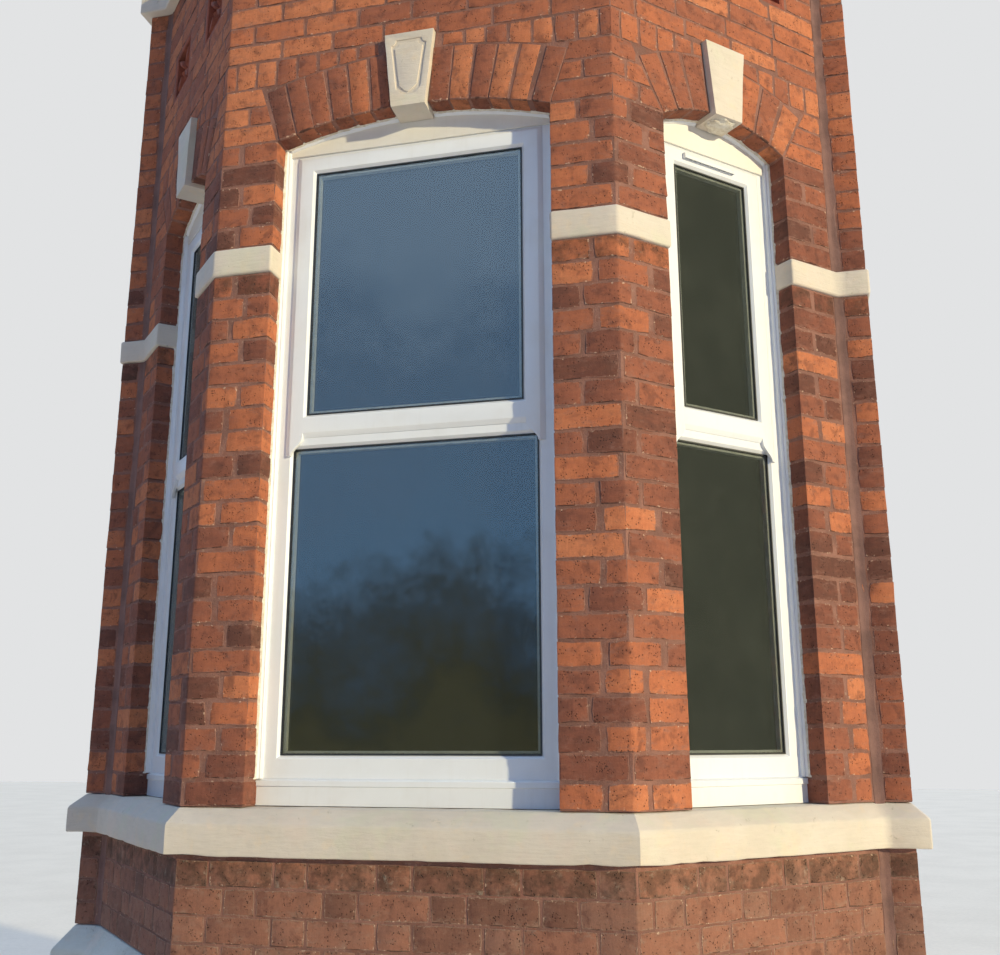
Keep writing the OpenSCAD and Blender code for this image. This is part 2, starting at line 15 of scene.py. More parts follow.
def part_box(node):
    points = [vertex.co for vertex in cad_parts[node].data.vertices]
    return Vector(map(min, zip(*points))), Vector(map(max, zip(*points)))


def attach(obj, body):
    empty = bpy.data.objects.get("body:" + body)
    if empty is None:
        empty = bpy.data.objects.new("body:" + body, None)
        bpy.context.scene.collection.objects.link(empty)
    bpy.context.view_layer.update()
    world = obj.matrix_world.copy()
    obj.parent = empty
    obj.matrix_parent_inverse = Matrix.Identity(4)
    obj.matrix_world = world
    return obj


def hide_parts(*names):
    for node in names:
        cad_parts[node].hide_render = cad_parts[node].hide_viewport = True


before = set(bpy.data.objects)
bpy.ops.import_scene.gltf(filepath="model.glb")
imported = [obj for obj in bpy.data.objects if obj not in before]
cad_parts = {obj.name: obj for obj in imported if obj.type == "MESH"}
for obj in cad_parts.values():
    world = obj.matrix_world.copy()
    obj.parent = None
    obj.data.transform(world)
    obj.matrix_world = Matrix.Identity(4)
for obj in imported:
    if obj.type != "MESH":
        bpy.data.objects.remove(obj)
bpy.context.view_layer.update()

log = logging.getLogger("bay")

Colour = tuple[float, float, float]
Number = Union[float, "Value"]
Plane = tuple[Vector, Vector]
Shape = bmesh.types.BMesh
Vertex = bmesh.types.BMVert
Edge = bmesh.types.BMEdge
Face = bmesh.types.BMFace

ALONG = Vector((1, 0, 0))
INWARD = Vector((0, 1, 0))
UP = Vector((0, 0, 1))


class Side(Enum):
    """The three windows of the bay, seen from outside."""

    LEFT = "left"
    FRONT = "front"
    RIGHT = "right"


# Sizes of the real thing that the nodes' boxes don't give, in metres

NIB = 0.114
PIER = 0.229
WALL = 0.229
REVEAL = 0.100
RING = 0.229
KEY_FOOT = 0.138
KEY_HEAD = 0.200
KEY_DROP = 0.024
PANEL = 0.250
PANEL_PITCH = 0.500
LOW_GLASS = 1.085
TOP_GLASS = 0.979
LOW_INSET = 0.077
TOP_INSET = 0.128
SPLAY = 0.013
LIGHT_OUT = 0.014
TRIM_OUT = 0.022
CANT = math.radians(45)
COURSE = 0.087
GLASS = 0.004
SHEET_PITCH = 0.024
STRETCHER = 0.235
HEADER = 0.1175
FILLET = 0.019

# Without a seed of its own, the noise that moves a point by a vector differs from run to run

NOISE_SEED = 41


@dataclass(frozen=True)
class Bay:
    """Driving sizes of the bay, in metres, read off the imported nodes."""

    front_y: float
    back_y: float
    half_front: float
    half_end: float
    dado_z: float
    cill_z: float
    pier_z: float
    impost_z: float
    upper_z: float
    spring_z: float
    crown_z: float
    panel_z: float
    string_z: float
    low_glass_z: float
    top_glass_z: float
    front_open: float
    side_open: float

    @classmethod
    def read(cls) -> "Bay":
        """Reads the sizes off the boxes of the nodes.

        Returns:
            The bay's sizes.
        """
        dado_low, dado_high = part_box("dado_front")
        pier_low, pier_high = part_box("pier_front_left")
        window_low, window_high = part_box("frame_front")
        side_low, side_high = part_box("frame_left")
        pane_low, pane_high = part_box("glass_front")
        frame_depth = window_high.y - window_low.y
        return cls(
            front_y=dado_low.y,
            back_y=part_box("dado_left")[1].y,
            half_front=dado_high.x,
            half_end=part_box("dado_right")[1].x,
            dado_z=dado_low.z,
            cill_z=dado_high.z,
            pier_z=pier_low.z,
            impost_z=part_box("impost_stones")[0].z,
            upper_z=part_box("impost_stones")[1].z,
            spring_z=pier_high.z,
            crown_z=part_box("keystones")[0].z + KEY_DROP,
            panel_z=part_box("terracotta_panels")[0].z,
            string_z=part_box("upper_wall_front")[1].z,
            low_glass_z=pane_low.z,
            top_glass_z=pane_high.z - TOP_GLASS,
            front_open=window_high.x - window_low.x,
            side_open=(side_high.x - side_low.x) / math.cos(CANT) - frame_depth,
        )

    @property
    def nib_y(self) -> float:
        """Depth of the nibs' faces."""
        return self.back_y - NIB

    @property
    def half_nib(self) -> float:
        """Half the distance between the inner corners, where the canted sides meet the nibs."""
        return self.half_end - NIB


BAY = Bay.read()


class Path:
    """A line in plan along a wall's face, followed from left to right as seen from its outer side."""

    def __init__(self, points: Iterable[Sequence[float]]) -> None:
        """Measures the line.

        Args:
            points: Corners of the line in plan.
        """
        self.points = [Vector((p[0], p[1])) for p in points]
        self.at = [0.0]
        for a, b in zip(self.points, self.points[1:]):
            self.at.append(self.at[-1] + (b - a).length)

    @property
    def length(self) -> float:
        """Length of the whole line."""
        return self.at[-1]

    @property
    def bends(self) -> list[float]:
        """Distances at which the line turns."""
        return self.at[1:-1]

    def way(self, i: int) -> Vector:
        """Direction of stretch i."""
        return (self.points[i + 1] - self.points[i]).normalized()

    def normal(self, i: int) -> Vector:
        """Outward normal of stretch i."""
        d = self.way(i)
        return Vector((d.y, -d.x))

    def mitre(self, i: int) -> Vector:
        """The way that corner i moves when the line moves out by one."""
        before, after = self.normal(i - 1), self.normal(i)
        return (before + after) / (1 + before.dot(after))

    def lean(self, i: int) -> float:
        """Tangent of half the turn at corner i, above nought at an outer corner."""
        before, after = self.normal(i - 1), self.normal(i)
        return before.cross(after) / (1 + before.dot(after))

    def place(self, t: float, out: float, z: float) -> Vector:
        """Puts a point of the straightened wall in its place, with mitred corners.

        Args:
            t: Distance along the line.
            out: Distance out from the face.
            z: Height.

        Returns:
            The point in the bay.
        """
        for i in range(1, len(self.points) - 1):
            if abs(t - self.at[i]) <= max(1e-6, -out * self.lean(i)):
                p = self.points[i] + out * self.mitre(i)
                return Vector((p.x, p.y, z))
        i = max(k for k in range(len(self.at) - 1) if k == 0 or self.at[k] <= t)
        p = self.points[i] + (t - self.at[i]) * self.way(i) + out * self.normal(i)
        return Vector((p.x, p.y, z))

    def mirrored(self) -> "Path":
        """The same line on the other side of the bay."""
        return Path((-p.x, p.y) for p in reversed(self.points))


def wall_line() -> Path:
    """The outer face of the walls, from the left end to the right end."""
    left = [
        (-BAY.half_end, BAY.back_y), (-BAY.half_end, BAY.nib_y),
        (-BAY.half_nib, BAY.nib_y), (-BAY.half_front, BAY.front_y),
    ]
    return Path(left + [(-x, y) for x, y in reversed(left)])


LINE = wall_line()
LEFT_CORNER, RIGHT_CORNER = LINE.at[3], LINE.at[4]


@dataclass(frozen=True)
class Opening:
    """One window opening. Its own frame has x along the wall, then depth into the wall, then height."""

    side: Side
    stretch: int
    along: float
    width: float

    @property
    def matrix(self) -> Matrix:
        """Takes x, depth and height to the bay's frame."""
        w, n = LINE.way(self.stretch), LINE.normal(self.stretch)
        m = LINE.place(self.along, 0.0, 0.0)
        return Matrix(((w.x, -n.x, 0, m.x), (w.y, -n.y, 0, m.y), (0, 0, 1, 0), (0, 0, 0, 1)))

    @property
    def inward(self) -> Vector:
        """The way into the wall."""
        return self.matrix.to_3x3() @ INWARD

    @property
    def radius(self) -> float:
        """Radius of the arch's underside."""
        rise = BAY.crown_z - BAY.spring_z
        return (self.width ** 2 / 4 + rise ** 2) / (2 * rise)

    @property
    def centre_z(self) -> float:
        """Height of the arch's centre."""
        return BAY.crown_z - self.radius

    @property
    def half_angle(self) -> float:
        """Angle between the middle of the arch and its springing."""
        return math.asin(self.width / 2 / self.radius)


SIDE_ALONG = PIER + BAY.side_open / 2
OPENINGS = {
    Side.LEFT: Opening(Side.LEFT, 2, LEFT_CORNER - SIDE_ALONG, BAY.side_open),
    Side.FRONT: Opening(Side.FRONT, 3, (LEFT_CORNER + RIGHT_CORNER) / 2, BAY.front_open),
    Side.RIGHT: Opening(Side.RIGHT, 4, RIGHT_CORNER + SIDE_ALONG, BAY.side_open),
}


# Shader maths

class Value:
    """A number in a material's nodes, on which arithmetic is written as on any other number."""

    def __init__(self, shader: "Shader", socket: bpy.types.NodeSocket) -> None:
        """Wraps an output socket.

        Args:
            shader: The material that the socket is in.
            socket: The socket.
        """
        self.shader = shader
        self.socket = socket

    def maths(self, operation: str, *numbers: Number) -> "Value":
        """Adds one Math node.

        Args:
            operation: Name of the operation.
            numbers: What the node takes, in order.

        Returns:
            The node's result.
        """
        made = self.shader.node("ShaderNodeMath", {"operation": operation}, dict(enumerate(numbers)))
        return Value(self.shader, made.outputs[0])

    def __add__(self, other: Number) -> "Value":
        """Sum."""
        return self.maths("ADD", self, other)

    __radd__ = __add__

    def __sub__(self, other: Number) -> "Value":
        """Difference."""
        return self.maths("SUBTRACT", self, other)

    def __rsub__(self, other: Number) -> "Value":
        """Difference, with the value taken away."""
        return self.maths("SUBTRACT", other, self)

    def __mul__(self, other: Number) -> "Value":
        """Product."""
        return self.maths("MULTIPLY", self, other)

    __rmul__ = __mul__

    def __abs__(self) -> "Value":
        """Size without sign."""
        return self.maths("ABSOLUTE", self)

    def least(self, other: Number) -> "Value":
        """The smaller of two."""
        return self.maths("MINIMUM", self, other)

    def most(self, other: Number) -> "Value":
        """The larger of two."""
        return self.maths("MAXIMUM", self, other)

    def between(self, low: float, high: float) -> "Value":
        """Rises smoothly from 0 at low to 1 at high.

        Args:
            low: Where the rise starts.
            high: Where it ends. Below low, the result falls instead.

        Returns:
            A value from 0 to 1.
        """
        ends = {"From Min": min(low, high), "From Max": max(low, high), "Value": self}
        made = self.shader.node("ShaderNodeMapRange", {"interpolation_type": "SMOOTHSTEP"}, ends)
        risen = Value(self.shader, made.outputs["Result"])
        return risen if low < high else 1 - risen


class Shader:
    """A material, or the world, whose nodes are made one at a time, each by the same method."""

    def __init__(self, owner: Union[bpy.types.Material, bpy.types.World]) -> None:
        """Clears the nodes.

        Args:
            owner: The new material or world that they belong to.
        """
        owner.use_nodes = True
        self.owner = owner
        self.tree = owner.node_tree
        self.tree.nodes.clear()

    @classmethod
    def named(cls, name: str) -> "Shader":
        """Starts an empty material of that name."""
        return cls(bpy.data.materials.new(name))

    def node(self, kind: str, settings: Optional[dict] = None, inputs: Optional[dict] = None
             ) -> bpy.types.Node:
        """Adds a node.

        Args:
            kind: The node's type.
            settings: Its own settings, which are set first. A ramp's stops are (place, colour) pairs.
            inputs: Values or links of its sockets, by name or number.

        Returns:
            The node.
        """
        made = self.tree.nodes.new(kind)
        for name, setting in (settings or {}).items():
            if name == "stops":
                self.set_stops(made.color_ramp, setting)
            else:
                setattr(made, name, setting)
        for name, value in (inputs or {}).items():
            self.feed(made.inputs[name], value)
        return made

    @staticmethod
    def set_stops(ramp: bpy.types.ColorRamp, stops: Sequence[tuple[float, Colour]]) -> None:
        """Sets a ramp's colours.

        Args:
            ramp: The ramp.
            stops: Pairs of a place and a colour, in order.
        """
        while len(ramp.elements) < len(stops):
            ramp.elements.new(1.0)
        for element, (at, colour) in zip(ramp.elements, stops):
            element.position = at
            element.color = (*colour, 1.0)

    def feed(self, socket: bpy.types.NodeSocket, value: object) -> None:
        """Links a socket, or sets it.

        Args:
            socket: The input.
            value: A value, an output socket, a number, a vector or a colour.
        """
        if isinstance(value, Value):
            self.tree.links.new(value.socket, socket)
        elif isinstance(value, bpy.types.NodeSocket):
            self.tree.links.new(value, socket)
        elif socket.type == "RGBA":
            socket.default_value = (*value, 1.0)
        else:
            socket.default_value = value

    def spot(self, stretch: Sequence[float] = (1, 1, 1), shift: Sequence[float] = (0, 0, 0)
             ) -> bpy.types.NodeSocket:
        """Object coordinates, stretched and moved.

        Args:
            stretch: Scale along each axis.
            shift: Move along each axis.

        Returns:
            The coordinates.
        """
        place = self.node("ShaderNodeTexCoord").outputs["Object"]
        given = {"Vector": place, "Scale": stretch, "Location": shift}
        return self.node("ShaderNodeMapping", None, given).outputs["Vector"]

    def split(self, vector: bpy.types.NodeSocket) -> tuple[Value, Value, Value]:
        """The three numbers of a vector."""
        made = self.node("ShaderNodeSeparateXYZ", None, {"Vector": vector})
        return tuple(Value(self, socket) for socket in made.outputs)

    def attribute(self, name: str) -> tuple[Value, Value, Value]:
        """The three numbers of one of the mesh's own attributes."""
        made = self.node("ShaderNodeAttribute", {"attribute_name": name})
        return self.split(made.outputs["Vector"])

    def noise(self, scale: float, detail: float = 3.0, rough: float = 0.55, warp: float = 0.0,
              stretch: Sequence[float] = (1, 1, 1), shift: Sequence[float] = (0, 0, 0)) -> Value:
        """Soft random mottling about a half.

        Args:
            scale: Blotches to the metre, roughly.
            detail: Number of finer layers.
            rough: Strength of the finer layers.
            warp: How far the pattern is twisted.
            stretch: Scale along each axis.
            shift: Move along each axis, for a pattern that differs from its like.

        Returns:
            The pattern.
        """
        given = {"Vector": self.spot(stretch, shift), "Scale": scale, "Detail": detail,
                 "Roughness": rough, "Distortion": warp}
        return Value(self, self.node("ShaderNodeTexNoise", None, given).outputs["Fac"])

    def cells(self, scale: float) -> Value:
        """Distance from the middle of random cells.

        Args:
            scale: Cells to the metre, roughly.

        Returns:
            The distance, in cells.
        """
        given = {"Vector": self.spot(), "Scale": scale}
        return Value(self, self.node("ShaderNodeTexVoronoi", None, given).outputs["Distance"])

    def ramp(self, at: Value, stops: Sequence[tuple[float, Colour]]) -> bpy.types.NodeSocket:
        """A colour picked from a row of colours."""
        return self.node("ShaderNodeValToRGB", {"stops": stops}, {"Fac": at}).outputs["Color"]

    def mix(self, amount: Number, under: object, over: object, blend: str = "MIX") -> bpy.types.NodeSocket:
        """Lays one colour over another.

        Args:
            amount: How much of the upper colour shows, from 0 to 1.
            under: The lower colour.
            over: The upper colour.
            blend: How they mix.

        Returns:
            The colour.
        """
        settings = {"data_type": "RGBA", "blend_type": blend}
        return self.node("ShaderNodeMix", settings, {0: amount, 6: under, 7: over}).outputs[2]

    def shade(self, colour: object, amount: Value) -> bpy.types.NodeSocket:
        """A colour made darker or lighter by a number about one."""
        grey = self.node("ShaderNodeCombineXYZ", None, {0: amount, 1: amount, 2: amount}).outputs[0]
        return self.mix(1.0, colour, grey, "MULTIPLY")

    def bump(self, height: Value, distance: float) -> bpy.types.NodeSocket:
        """A normal that follows a height.

        Args:
            height: The height, from 0 to 1.
            distance: What a height of 1 stands for, in metres.

        Returns:
            The normal.
        """
        given = {"Height": height, "Distance": distance, "Strength": 1.0}
        return self.node("ShaderNodeBump", None, given).outputs["Normal"]

    def finish(self, colour: object, roughness: object, **others: object) -> bpy.types.Material:
        """Ends the material in one surface.

        Args:
            colour: Base colour.
            roughness: Roughness.
            others: Further sockets by name, with an underscore for each space.

        Returns:
            The material.
        """
        given = {"Base Color": colour, "Roughness": roughness}
        given.update({name.replace("_", " "): value for name, value in others.items()})
        surface = self.node("ShaderNodeBsdfPrincipled", None, given)
        self.node("ShaderNodeOutputMaterial", None, {"Surface": surface.outputs[0]})
        return self.owner


def paint(red: int, green: int, blue: int) -> Colour:
    """A colour given as it shows on a screen, as light.

    Args:
        red: Red, from 0 to 255.
        green: Green, from 0 to 255.
        blue: Blue, from 0 to 255.

    Returns:
        The same colour on a straight scale.
    """
    shares = (red / 255, green / 255, blue / 255)
    return tuple(((c + 0.055) / 1.055) ** 2.4 if c > 0.04045 else c / 12.92 for c in shares)


# Finishes

@dataclass(frozen=True)
class BrickFinish:
    """Worn pressed bricks, each of its own tone, smeared with mortar along its edges."""

    name: str
    tones: tuple[Colour, ...]
    mortar: Colour
    smear: float
    bloom: float

    def material(self) -> bpy.types.Material:
        """Builds the material. Each brick gives it two attributes, brick and size.

        Returns:
            The material.
        """
        s = Shader.named(self.name)
        u, v, tone = s.attribute("brick")
        half_u, half_v, darkening = s.attribute("size")
        edge = (half_u - abs(u)).least(half_v - abs(v))
        broad = s.noise(7, 4)
        drag = s.noise(26, 5, 0.65, stretch=(0.45, 0.45, 1.7))
        streaks = s.noise(95, 4, 0.7, stretch=(1.0, 1.0, 0.22))
        grain = s.noise(210, 4, 0.75)
        stops = [(i / (len(self.tones) - 1), colour) for i, colour in enumerate(self.tones)]
        colour = s.ramp(tone + (drag - 0.5) * 0.5 + (broad - 0.5) * 0.4, stops)
        colour = s.shade(colour, (0.52 + 0.50 * grain + 0.46 * streaks))
        burnt = s.noise(17, 4, 0.65, 0.4).between(0.50, 0.68)
        colour = s.mix(burnt * 0.55, colour, paint(98, 62, 54))
        # Painted shade in small pits: the spots that the bump dents are painted dark as well
        pits = s.cells(120).between(0.36, 0.12) * s.noise(38, 3).between(0.48, 0.62)
        colour = s.mix(pits * 0.8, colour, paint(50, 32, 28))
        wobble = s.noise(62, 4, 0.65)
        ragged = edge + (wobble - 0.5) * 0.016
        smeared = ragged.between(self.smear, self.smear * 0.2)
        near = edge.between(0.034, 0.004)
        haze = s.noise(33, 5, 0.72, stretch=(0.7, 0.7, 1.3)).between(0.50, 0.70) * (0.25 + 0.45 * near)
        colour = s.mix((smeared * 0.85).most(haze), colour, self.mortar)
        # Grime and painted shade: bricks darkened in patches by how dark their course is, most under the
        # stone courses and in the arches' soffits
        grime_and_shade = darkening * s.noise(19, 5, 0.7).between(0.34, 0.62)
        colour = s.mix(grime_and_shade * 0.6, colour, paint(60, 50, 42))
        lime = s.noise(24, 5, 0.72).between(0.58, 0.74) * darkening * self.bloom
        colour = s.mix(lime, colour, paint(186, 174, 156))
        rim = ragged.between(0.008, 0.003) * s.noise(70, 3, 0.6, shift=(5, 3, 8)).between(0.60, 0.70)
        colour = s.mix(rim * 0.7, colour, paint(216, 184, 160))
        # Painted shadow: a thin dark line along the lower edge of some bricks, where a gap below the brick
        # lies in shade
        under = (half_v + v + (wobble - 0.5) * 0.006).between(0.0040, 0.0012)
        gap = under * s.noise(13, 3, 0.6, shift=(2, 7, 1)).between(0.50, 0.60)
        colour = s.mix(gap * 0.7, colour, paint(52, 34, 30))
        height = drag * 0.45 + grain * 0.25 + streaks * 0.2 - pits * 0.7 + smeared * 0.15 - gap * 0.4
        return s.finish(colour, 0.78 + 0.18 * grain, Normal=s.bump(height, 0.004), Specular_IOR_Level=0.2)


@dataclass(frozen=True)
class MortarFinish:
    """Lime mortar, with a plain pattern of bricks where the walls are cut through at the back."""

    name: str
    pale: Colour
    dark: Colour

    def material(self) -> bpy.types.Material:
        """Builds the material.

        Returns:
            The material.
        """
        s = Shader.named(self.name)
        sand = s.noise(420, 3, 0.7)
        broad = s.noise(9, 4)
        colour = s.mix(broad.between(0.35, 0.65), self.pale, self.dark)
        reddened = s.noise(19, 4, 0.6, shift=(4, 4, 1)).between(0.5, 0.66)
        colour = s.mix(reddened * 0.5, colour, paint(134, 84, 68))
        colour = s.shade(colour, 0.68 + 0.64 * sand)
        colour = s.mix(s.noise(75, 4).between(0.6, 0.7) * 0.35, colour, paint(186, 158, 138))
        height = s.noise(110, 4, 0.7) * 0.7 + sand * 0.3
        bricks = self.back_faces(s) * self.cut_bricks(s)
        colour = s.mix(bricks, colour, s.ramp(broad + (sand - 0.5) * 0.5, [
            (0.3, paint(130, 80, 65)), (0.5, paint(160, 98, 76)), (0.7, paint(104, 68, 58))
        ]))
        return s.finish(colour, 0.95, Normal=s.bump(height + bricks * 0.5, 0.005), Specular_IOR_Level=0.2)

    @staticmethod
    def back_faces(s: Shader) -> Value:
        """One on the faces that look to the back."""
        normal = s.node("ShaderNodeNewGeometry").outputs["Normal"]
        return s.split(normal)[1].between(0.90, 0.98)

    @staticmethod
    def cut_bricks(s: Shader) -> Value:
        """One on the bricks of the walls' cut ends, nought on their joints."""
        turned = s.node("ShaderNodeMapping", None, {
            "Vector": s.spot(), "Rotation": (math.radians(90), 0, 0)
        }).outputs["Vector"]
        made = s.node("ShaderNodeTexBrick", {"offset": 0.5}, {
            "Vector": turned, "Scale": 1.0, "Mortar Size": 0.005, "Mortar Smooth": 0.3,
            "Brick Width": 0.1195, "Row Height": COURSE,
        })
        return 1 - Value(s, made.outputs["Fac"])


@dataclass(frozen=True)
class StoneFinish:
    """Masonry paint on stone, brushed on thick, with stains and lost patches."""

    name: str
    coat: Colour
    stain: Colour
    bare: Colour
    worn: float

    def material(self) -> bpy.types.Material:
        """Builds the material.

        Returns:
            The material.
        """
        s = Shader.named(self.name)
        broad = s.noise(3.2, 5, 0.6)
        brush = s.noise(60, 4, 0.6, stretch=(0.25, 0.25, 1.6))
        fine = s.noise(300, 3, 0.6)
        colour = s.mix(broad.between(0.42, 0.68) * 0.55, self.coat, self.stain)
        yellowed = s.noise(11, 4, 0.6, 0.5, shift=(3, 1, 2)).between(0.54, 0.7)
        colour = s.mix(yellowed * 0.4, colour, paint(226, 205, 176))
        tint = s.noise(5.5, 4, 0.6, shift=(6, 6, 2))
        colour = s.mix(tint.between(0.52, 0.68) * 0.35, colour, paint(222, 200, 184))
        colour = s.mix(tint.between(0.48, 0.34) * 0.35, colour, paint(206, 206, 180))
        colour = s.shade(colour, 0.91 + 0.18 * brush)
        dirt = s.noise(24, 6, 0.72, 0.3, shift=(7, 2, 5)).between(0.62, 0.74)
        colour = s.mix(dirt * 0.5, colour, paint(150, 140, 112))
        chips = s.noise(55, 4, 0.7, shift=(1, 9, 4)).between(0.70 - self.worn, 0.74 - self.worn)
        colour = s.mix(chips * 0.8, colour, self.bare)
        height = brush * 0.5 + fine * 0.15 + s.noise(28, 4) * 0.6 - chips * 0.4
        return s.finish(colour, 0.62 + 0.2 * brush, Normal=s.bump(height, 0.0035), Specular_IOR_Level=0.35)


@dataclass(frozen=True)
class PlasticFinish:
    """Smooth white window plastic, with patches and streaks of dust."""

    name: str
    coat: Colour
    dust: Colour
    gloss: float

    def material(self) -> bpy.types.Material:
        """Builds the material.

        Returns:
            The material.
        """
        s = Shader.named(self.name)
        dusty = s.noise(6, 5, 0.6).between(0.45, 0.75)
        streak = s.noise(30, 4, 0.6, stretch=(1.6, 1.6, 0.12)).between(0.5, 0.8)
        colour = s.mix(dusty * 0.16 + streak * 0.10, self.coat, self.dust)
        rough = 0.24 + self.gloss + 0.16 * dusty
        wave = s.noise(9, 2) * 0.6 + s.noise(500, 2) * 0.05
        return s.finish(colour, rough, Normal=s.bump(wave, 0.0008), Specular_IOR_Level=0.5)


@dataclass(frozen=True)
class ClayFinish:
    """Unglazed terracotta, darkened with grime in random patches."""

    name: str
    clay: Colour
    darkening: Colour

    def material(self) -> bpy.types.Material:
        """Builds the material.

        Returns:
            The material.
        """
        s = Shader.named(self.name)
        broad = s.noise(14, 5, 0.6)
        grain = s.noise(260, 4, 0.7)
        colour = s.mix(broad.between(0.4, 0.72) * 0.6, self.clay, self.darkening)
        colour = s.shade(colour, 0.7 + 0.6 * grain)
        height = s.noise(70, 5, 0.65) * 0.6 + grain * 0.3
        return s.finish(colour, 0.86, Normal=s.bump(height, 0.004), Specular_IOR_Level=0.3)


@dataclass(frozen=True)
class WoodFinish:
    """Softwood with its grain along one axis."""

    name: str
    early: Colour
    late: Colour
    stretch: tuple[float, float, float]
    rough: float

    def material(self) -> bpy.types.Material:
        """Builds the material.

        Returns:
            The material.
        """
        s = Shader.named(self.name)
        bands = s.noise(34, 3, 0.55, 0.9, stretch=self.stretch)
        fibre = s.noise(320, 3, 0.6, stretch=self.stretch)
        colour = s.mix(bands.between(0.4, 0.62), self.early, self.late)
        colour = s.shade(colour, 0.8 + 0.4 * fibre)
        height = bands * 0.6 + fibre * 0.4
        return s.finish(colour, self.rough + 0.15 * fibre, Normal=s.bump(height, 0.0015))


@dataclass(frozen=True)
class CoatFinish:
    """A dull coat or skin, such as plaster, sealant or lead, mottled between two colours."""

    name: str
    one: Colour
    other: Colour
    scale: float
    rough: float
    relief: float
    metal: float = 0.0

    def material(self) -> bpy.types.Material:
        """Builds the material.

        Returns:
            The material.
        """
        s = Shader.named(self.name)
        broad = s.noise(self.scale, 5, 0.62)
        fine = s.noise(self.scale * 24, 3, 0.6)
        colour = s.mix(broad.between(0.35, 0.68), self.one, self.other)
        colour = s.shade(colour, 0.9 + 0.2 * fine)
        height = broad * 0.6 + fine * 0.4
        rough = self.rough + 0.15 * broad
        return s.finish(colour, rough, Normal=s.bump(height, self.relief), Metallic=self.metal)


@dataclass(frozen=True)
class GlassFinish:
    """One sheet of a double pane, part of it covered in near-black as painted shade of a dim room behind it,
    with dust on its face.
    """

    name: str
    # The near-black tint of the covered share is painted shade of the dim room behind the glass
    tint: Colour
    cover: float
    dust: float
    mirror: float

    def material(self) -> bpy.types.Material:
        """Builds the material. Its mirror is set by the refraction, higher where a sheet is thinly covered.

        Returns:
            The material.
        """
        s = Shader.named(self.name)
        film = s.noise(3, 6, 0.75).between(0.35, 0.8)
        specks = s.cells(90).between(0.14, 0.05) * s.noise(12, 3).between(0.55, 0.7)
        dusty = (film * 0.22 + specks * 0.5) * self.dust
        colour = s.mix(dusty, self.tint, paint(150, 152, 140))
        cover = (dusty + self.cover).least(1.0)
        wave = s.bump(s.noise(1.6, 1), 0.0005)
        return s.finish(
            colour, 0.012 + 0.2 * dusty, Normal=wave, Alpha=cover, IOR=self.mirror, Specular_IOR_Level=0.5
        )


class Palette:
    """The finishes of the bay, each made once."""

    def __init__(self) -> None:
        """Builds every material."""
        self.brick = BrickFinish(
            "brick_walls",
            (paint(104, 68, 58), paint(130, 80, 65), paint(149, 91, 71), paint(166, 100, 74),
             paint(184, 110, 77), paint(198, 124, 87)),
            paint(147, 107, 94), smear=0.0035, bloom=0.15,
        ).material()
        self.dado_brick = BrickFinish(
            "brick_dado",
            (paint(120, 84, 71), paint(138, 95, 79), paint(154, 105, 86), paint(146, 106, 90)),
            paint(152, 122, 106), smear=0.0035, bloom=0.4,
        ).material()
        self.mortar = MortarFinish("mortar", paint(152, 110, 97), paint(128, 93, 83)).material()
        self.fillet = CoatFinish(
            "corner_mortar", paint(134, 100, 92), paint(112, 84, 78), scale=9, rough=0.9, relief=0.004
        ).material()
        self.stone = StoneFinish(
            "painted_stone", paint(215, 204, 190), paint(203, 190, 173), paint(160, 146, 124), worn=0.0
        ).material()
        self.plinth = StoneFinish(
            "plinth_paint", paint(222, 222, 212), paint(196, 196, 182), paint(140, 134, 120), worn=0.02
        ).material()
        self.terracotta = ClayFinish("terracotta", paint(156, 86, 66), paint(78, 46, 38)).material()
        self.white = PlasticFinish(
            "window_white", paint(234, 236, 239), paint(206, 201, 192), gloss=0.08
        ).material()
        self.cream = PlasticFinish(
            "head_cream", paint(230, 226, 217), paint(200, 190, 170), gloss=0.30
        ).material()
        self.gasket = CoatFinish(
            "gasket_rubber", paint(24, 24, 26), paint(40, 40, 41), scale=40, rough=0.5, relief=0.0005
        ).material()
        self.spacer = CoatFinish(
            "spacer_bar", paint(228, 234, 220), paint(210, 218, 206), scale=30, rough=0.4,
            relief=0.0003, metal=0.1
        ).material()
        self.sealant = CoatFinish(
            "sealant", paint(232, 226, 214), paint(204, 192, 172), scale=46, rough=0.6, relief=0.003
        ).material()
        self.plaster = CoatFinish(
            "plaster", paint(232, 228, 220), paint(218, 213, 203), scale=7, rough=0.75, relief=0.002
        ).material()
        self.timber = WoodFinish(
            "sawn_softwood", paint(196, 160, 112), paint(150, 108, 66), stretch=(1.0, 0.06, 1.0), rough=0.72
        ).material()
        self.boards = WoodFinish(
            "waxed_boards", paint(172, 122, 74), paint(118, 76, 42), stretch=(0.06, 1.0, 1.0), rough=0.42
        ).material()
        self.lead = CoatFinish(
            "lead", paint(138, 142, 148), paint(104, 108, 114), scale=5, rough=0.5, relief=0.002, metal=0.35
        ).material()
        # The glass is partly covered in near-black, painted shade of the dim room behind it; the back sheets
        # almost wholly
        self.sheet = GlassFinish(
            "glass_front_sheet", (0.012, 0.015, 0.018), cover=0.32, dust=0.10, mirror=2.5
        ).material()
        self.room_shade_sheet = GlassFinish(
            "glass_back_sheet_painted_shade", (0.020, 0.024, 0.020), cover=0.93, dust=0.05, mirror=1.5
        ).material()
        self.dusty_sheet = GlassFinish(
            "glass_dusty_sheet", (0.020, 0.023, 0.019), cover=0.32, dust=0.45, mirror=2.5
        ).material()
        self.ground = CoatFinish(
            "studio_floor", paint(240, 229, 212), paint(234, 223, 206), scale=1.3, rough=0.8, relief=0.0005
        ).material()


# Making pieces

